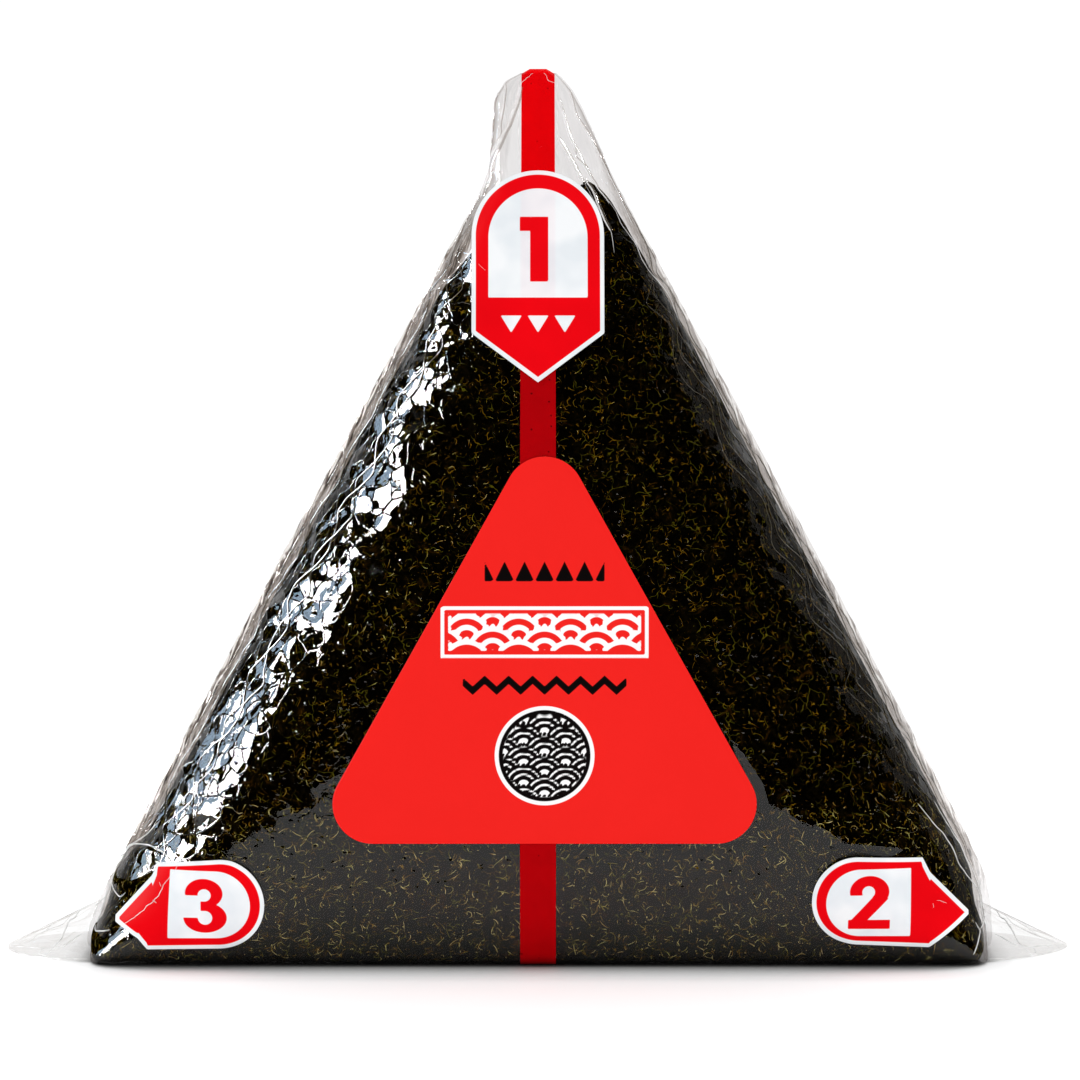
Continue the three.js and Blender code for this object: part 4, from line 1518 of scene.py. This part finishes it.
label_red = label_material("coated_label_red", ("#ee0612", "#d8040e"), ("#eef0f2", "#e0e5e9"), 0.10)
sticker_red = label_material("coated_sticker_red", ("#ea2420", "#e6221e"), ("#f4f4f4", "#f1f1f1"),
                             black=True)
print("label materials:", label_red.name, "and", sticker_red.name)

# %% Labels


def label_sway(x, z):
    """Slow waves of a stuck label, in mm."""
    return 0.05 * noise(x, 0, z, 5.0, 31)


def make_label(name, outline, size, inks, material, slot, node):
    """A label's mesh with its print distances, its wall, and the CAD node it stands for."""
    x, z = label_chords(outline, *size)
    depth = front_depth(x, z, LABEL_WRAP) + LABEL_LIFT + label_sway(x, z)
    points = np.stack([x, -depth, z], axis=-1)
    piece = new_mesh(name, points, grid_faces(*x.shape), **{key: ink(x, z) for key, ink in inks.items()})
    weld(piece)
    if sum(face.normal.y * face.area for face in piece.data.polygons) > 0:
        piece.data.flip_normals()
    wall = piece.modifiers.new("wall", "SOLIDIFY")
    wall.thickness = LABEL_THICKNESS * MM
    wall.offset = 1.0
    return finish_piece(piece, material, slot, node)


make_label("opening_tag_1", tag_outline, (190, 110), {"white_ink": tag_print}, label_red,
           "label", "step_label_1")
for side, number in ((1, 2), (-1, 3)):
    make_label(f"corner_tag_{number}", corner_tag_outline(side), (150, 90),
               {"white_ink": lambda x, z, side=side: corner_tag_print(side, x, z)}, label_red,
               "label", f"step_label_{number}")
make_label("front_wave_sticker", sticker_outline, (204, 238),
           {"white_ink": sticker_white, "black_ink": sticker_black}, sticker_red,
           "sticker", "front_sticker")

# %% [markdown]
# ### Creases in the labels
#
# The tag on the left corner has been folded over the edge of the rice: a fine white crack
# runs across its tip, with a few chips beside it. The right one has a short crack, and the
# strip has two white arcs where it is folded over the peak.

# %% Label creases
# Radius and route of each crack, and on the strip its height off the pack, in mm.
LABEL_CREASES = [
    (0.055, [(-36.2, 11.2), (-36.7, 10.1), (-37.6, 9.2), (-38.2, 8.0), (-38.9, 7.0), (-39.5, 6.7),
             (-40.1, 5.9), (-41.2, 5.2), (-42.5, 4.3)]),
    (0.04, [(-38.3, 9.0), (-38.1, 8.6)]),
    (0.05, [(-39.0, 7.2), (-38.6, 6.9)]),
    (0.035, [(40.3, 7.2), (40.9, 7.0), (41.4, 6.8)]),
    (0.03, [(39.9, 6.9), (39.9, 6.5)]),
    (0.02, [(-5.9, 76.9), (-5.5, 75.8), (-5.4, 74.6)]),
    (0.018, [(-6.1, 71.6), (-5.7, 71.0), (-5.3, 70.7)]),
    (0.04, [(-1.78, 89.7), (-1.5, 90.2), (-0.9, 90.5), (-0.5, 91.0)], 0.44),
    (0.04, [(1.78, 90.0), (1.4, 89.9), (0.9, 90.4), (0.6, 91.0)], 0.44),
    (0.012, [(-1.5, 82.4), (0.2, 83.2), (1.6, 84.4)], 0.44),
]


def label_crease(radius, route, lift=LABEL_LIFT + LABEL_THICKNESS):
    """A tube along a route on the front of a label or the strip, with a jagged wobble."""
    x, z = wobbled(smooth_route(route), 0.09, 0.35, 83).T
    depth = front_depth(x, z, LABEL_WRAP) + lift + label_sway(x, z)
    points = np.stack([x, -depth, z], axis=1)
    return tube(points, np.broadcast_to([0.0, -1.0, 0.0], points.shape), radius)


crease_piece("label_creases", [label_crease(*entry) for entry in LABEL_CREASES], whitened)

# %% [markdown]
# ## Studio
#
# The pack stands on a white, softly backlit table in a white room, as for a catalogue.
# Glossy film shows what stands round it, so the room is planned like the set of a studio:
# dark behind the camera, pale at the back, and a tall softbox at the left for the bright
# crumpled edge, with a bluish reflector beside it and a dim grey card at the right.

# %% Camera
CAMERA_DISTANCE = 420.0
CAMERA_ELEVATION = 4.0
CAMERA_TARGET = (0.2, 0.0, 42.7)
FRAME_PIXELS = 1080
FOCAL_PIXELS = 4038.0

camera_data = bpy.data.cameras.new("camera")
camera_data.sensor_width = 36.0
camera_data.lens = FOCAL_PIXELS / FRAME_PIXELS * camera_data.sensor_width
camera_data.clip_start = 0.01
camera = bpy.data.objects.new("camera", camera_data)
bpy.context.scene.collection.objects.link(camera)
tilt = np.radians(CAMERA_ELEVATION)
back_off = Vector((0, -np.cos(tilt), np.sin(tilt))) * CAMERA_DISTANCE
camera.location = (Vector(CAMERA_TARGET) + back_off) * MM
camera.rotation_euler = (np.pi / 2 - tilt, 0, 0)
bpy.context.scene.camera = camera
bpy.context.scene.view_settings.view_transform = "Standard"

print(f"lens {camera_data.lens:.1f} mm, {CAMERA_DISTANCE:.0f} mm from the pack")

# %% Floor
FLOOR_RADIUS = 190.0
FLOOR_SIDES = 96
FLOOR_GLOW = 0.30


def floor_material():
    """Backlit white acrylic: diffuse, a glow and a weak blurred mirror, with a painted contact shadow that
    darkens glow and colour near the pack.
    """
    material, tree = new_material("backlit_white_acrylic")
    # Painted contact shadow: ambient occlusion within 8 mm, where |x| is under 45 to 49 mm, darkens the glow
    # and the diffuse colour round the pack's foot.
    corner = add(tree, "AmbientOcclusion", {"Distance": 8 * MM}, samples=8)
    place = add(tree, "SeparateXYZ", {0: add(tree, "TexCoord").outputs["Object"]})
    aside = add(tree, "Math", {0: place.outputs["X"]}, operation="ABSOLUTE")
    aside = add(tree, "MapRange", {"Value": aside.outputs[0], "From Min": 45 * MM, "From Max": 49 * MM})
    open_sky = add(tree, "Math", {0: corner.outputs["AO"], 1: aside.outputs[0]}, operation="MAXIMUM")
    glow = add(tree, "Math", {0: open_sky.outputs[0], 1: 2.0}, operation="POWER")
    glow = add(tree, "Math", {0: glow.outputs[0], 1: FLOOR_GLOW}, operation="MULTIPLY")
    shade = add(tree, "Math", {0: open_sky.outputs[0], 1: 1.5}, operation="MULTIPLY")
    shade = add(tree, "Math", {0: shade.outputs[0], 1: 0.9}, operation="MINIMUM")
    matt = add(tree, "BsdfDiffuse", {"Color": shade.outputs[0]})
    light = add(tree, "Emission", {"Color": (0.98, 0.99, 1.0, 1.0), "Strength": glow.outputs[0]})
    lit = add(tree, "AddShader", {0: matt.outputs[0], 1: light.outputs[0]})
    gloss = add(tree, "BsdfAnisotropic", {"Color": (1, 1, 1, 1), "Roughness": 0.2})
    both = add(tree, "MixShader", {0: 0.06, 1: lit.outputs[0], 2: gloss.outputs[0]})
    return coated(material, both)


turn = np.linspace(0, 2 * np.pi, FLOOR_SIDES + 1)[:-1]
rim = np.stack([FLOOR_RADIUS * np.cos(turn), FLOOR_RADIUS * np.sin(turn), 0 * turn], axis=-1)
floor = new_mesh("floor", rim, np.arange(FLOOR_SIDES)[None, :])
floor.data.materials.append(floor_material())

print("floor", 2 * FLOOR_RADIUS, "mm across")

# %% Room


def room_light():
    """World: white to the camera, even for diffuse light, and a planned room for gloss."""
    world = bpy.data.worlds.new("studio_room")
    bpy.context.scene.world = world
    world.use_nodes = True
    tree = world.node_tree
    tree.nodes.clear()
    way = add(tree, "TexCoord").outputs["Generated"]
    parts = add(tree, "SeparateXYZ", {0: way})
    flat = add(tree, "VectorMath", {0: way, 1: (1, 1, 0)}, operation="MULTIPLY")
    flat = add(tree, "VectorMath", {0: flat.outputs[0]}, operation="NORMALIZE")
    ahead = add(tree, "SeparateXYZ", {0: flat.outputs[0]})
    side = add(tree, "MapRange", {"Value": ahead.outputs["Y"], "From Min": 0.6, "From Max": 0.97,
                                  "To Min": 0.003, "To Max": 0.9}, interpolation_type="SMOOTHSTEP")
    above = add(tree, "MapRange", {"Value": parts.outputs["Z"], "From Min": 0.8, "From Max": 0.95,
                                   "To Min": 0.0, "To Max": 0.3}, interpolation_type="SMOOTHSTEP")
    gloss = add(tree, "Math", {0: side.outputs[0], 1: above.outputs[0]}, operation="MAXIMUM")
    path = add(tree, "LightPath")
    mixed = add(tree, "Mix", {"Factor": path.outputs["Is Glossy Ray"], 2: 1.08, 3: gloss.outputs[0]})
    strength = add(tree, "Mix", {"Factor": path.outputs["Is Camera Ray"], 2: mixed.outputs[0], 3: 1.05})
    back = add(tree, "Background", {"Color": (1, 1, 1, 1), "Strength": strength.outputs[0]})
    add(tree, "OutputWorld", {"Surface": back.outputs[0]})


room_light()
print("world:", bpy.context.scene.world.name)

# %% Softboxes
LIGHT_AIM = Vector((0, 0, 40))
LIGHT_DISTANCE = 450
LIGHT_ELEVATION = np.radians(12)


def softbox(name, azimuth, size, radiance, colour, lean=0):
    """An area light aimed at the pack: its power is radiance times pi times its area."""
    data = bpy.data.lights.new(name, "AREA")
    data.shape = "RECTANGLE"
    data.size, data.size_y = size[0] * MM, size[1] * MM
    data.energy = radiance * np.pi * data.size * data.size_y
    data.color = linear(colour)[:3]
    light = bpy.data.objects.new(name, data)
    bpy.context.scene.collection.objects.link(light)
    az, el = np.radians(azimuth), LIGHT_ELEVATION
    way = Vector((np.sin(az) * np.cos(el), -np.cos(az) * np.cos(el), np.sin(el)))
    place = LIGHT_AIM + way * LIGHT_DISTANCE
    turned = way.to_track_quat("Z", "Y").to_matrix().to_4x4() @ Matrix.Rotation(np.radians(lean), 4, "Z")
    light.matrix_world = Matrix.Translation(place * MM) @ turned
    light.visible_camera = False
    light.visible_diffuse = False


softbox("softbox_left", -77, (200, 470), 55, "#ffffff", lean=-25)
softbox("blue_reflector_left", -101, (150, 430), 14, "#b6cfe6", lean=-25)
softbox("grey_card_right", 112, (240, 470), 0.34, "#e8e4dc")
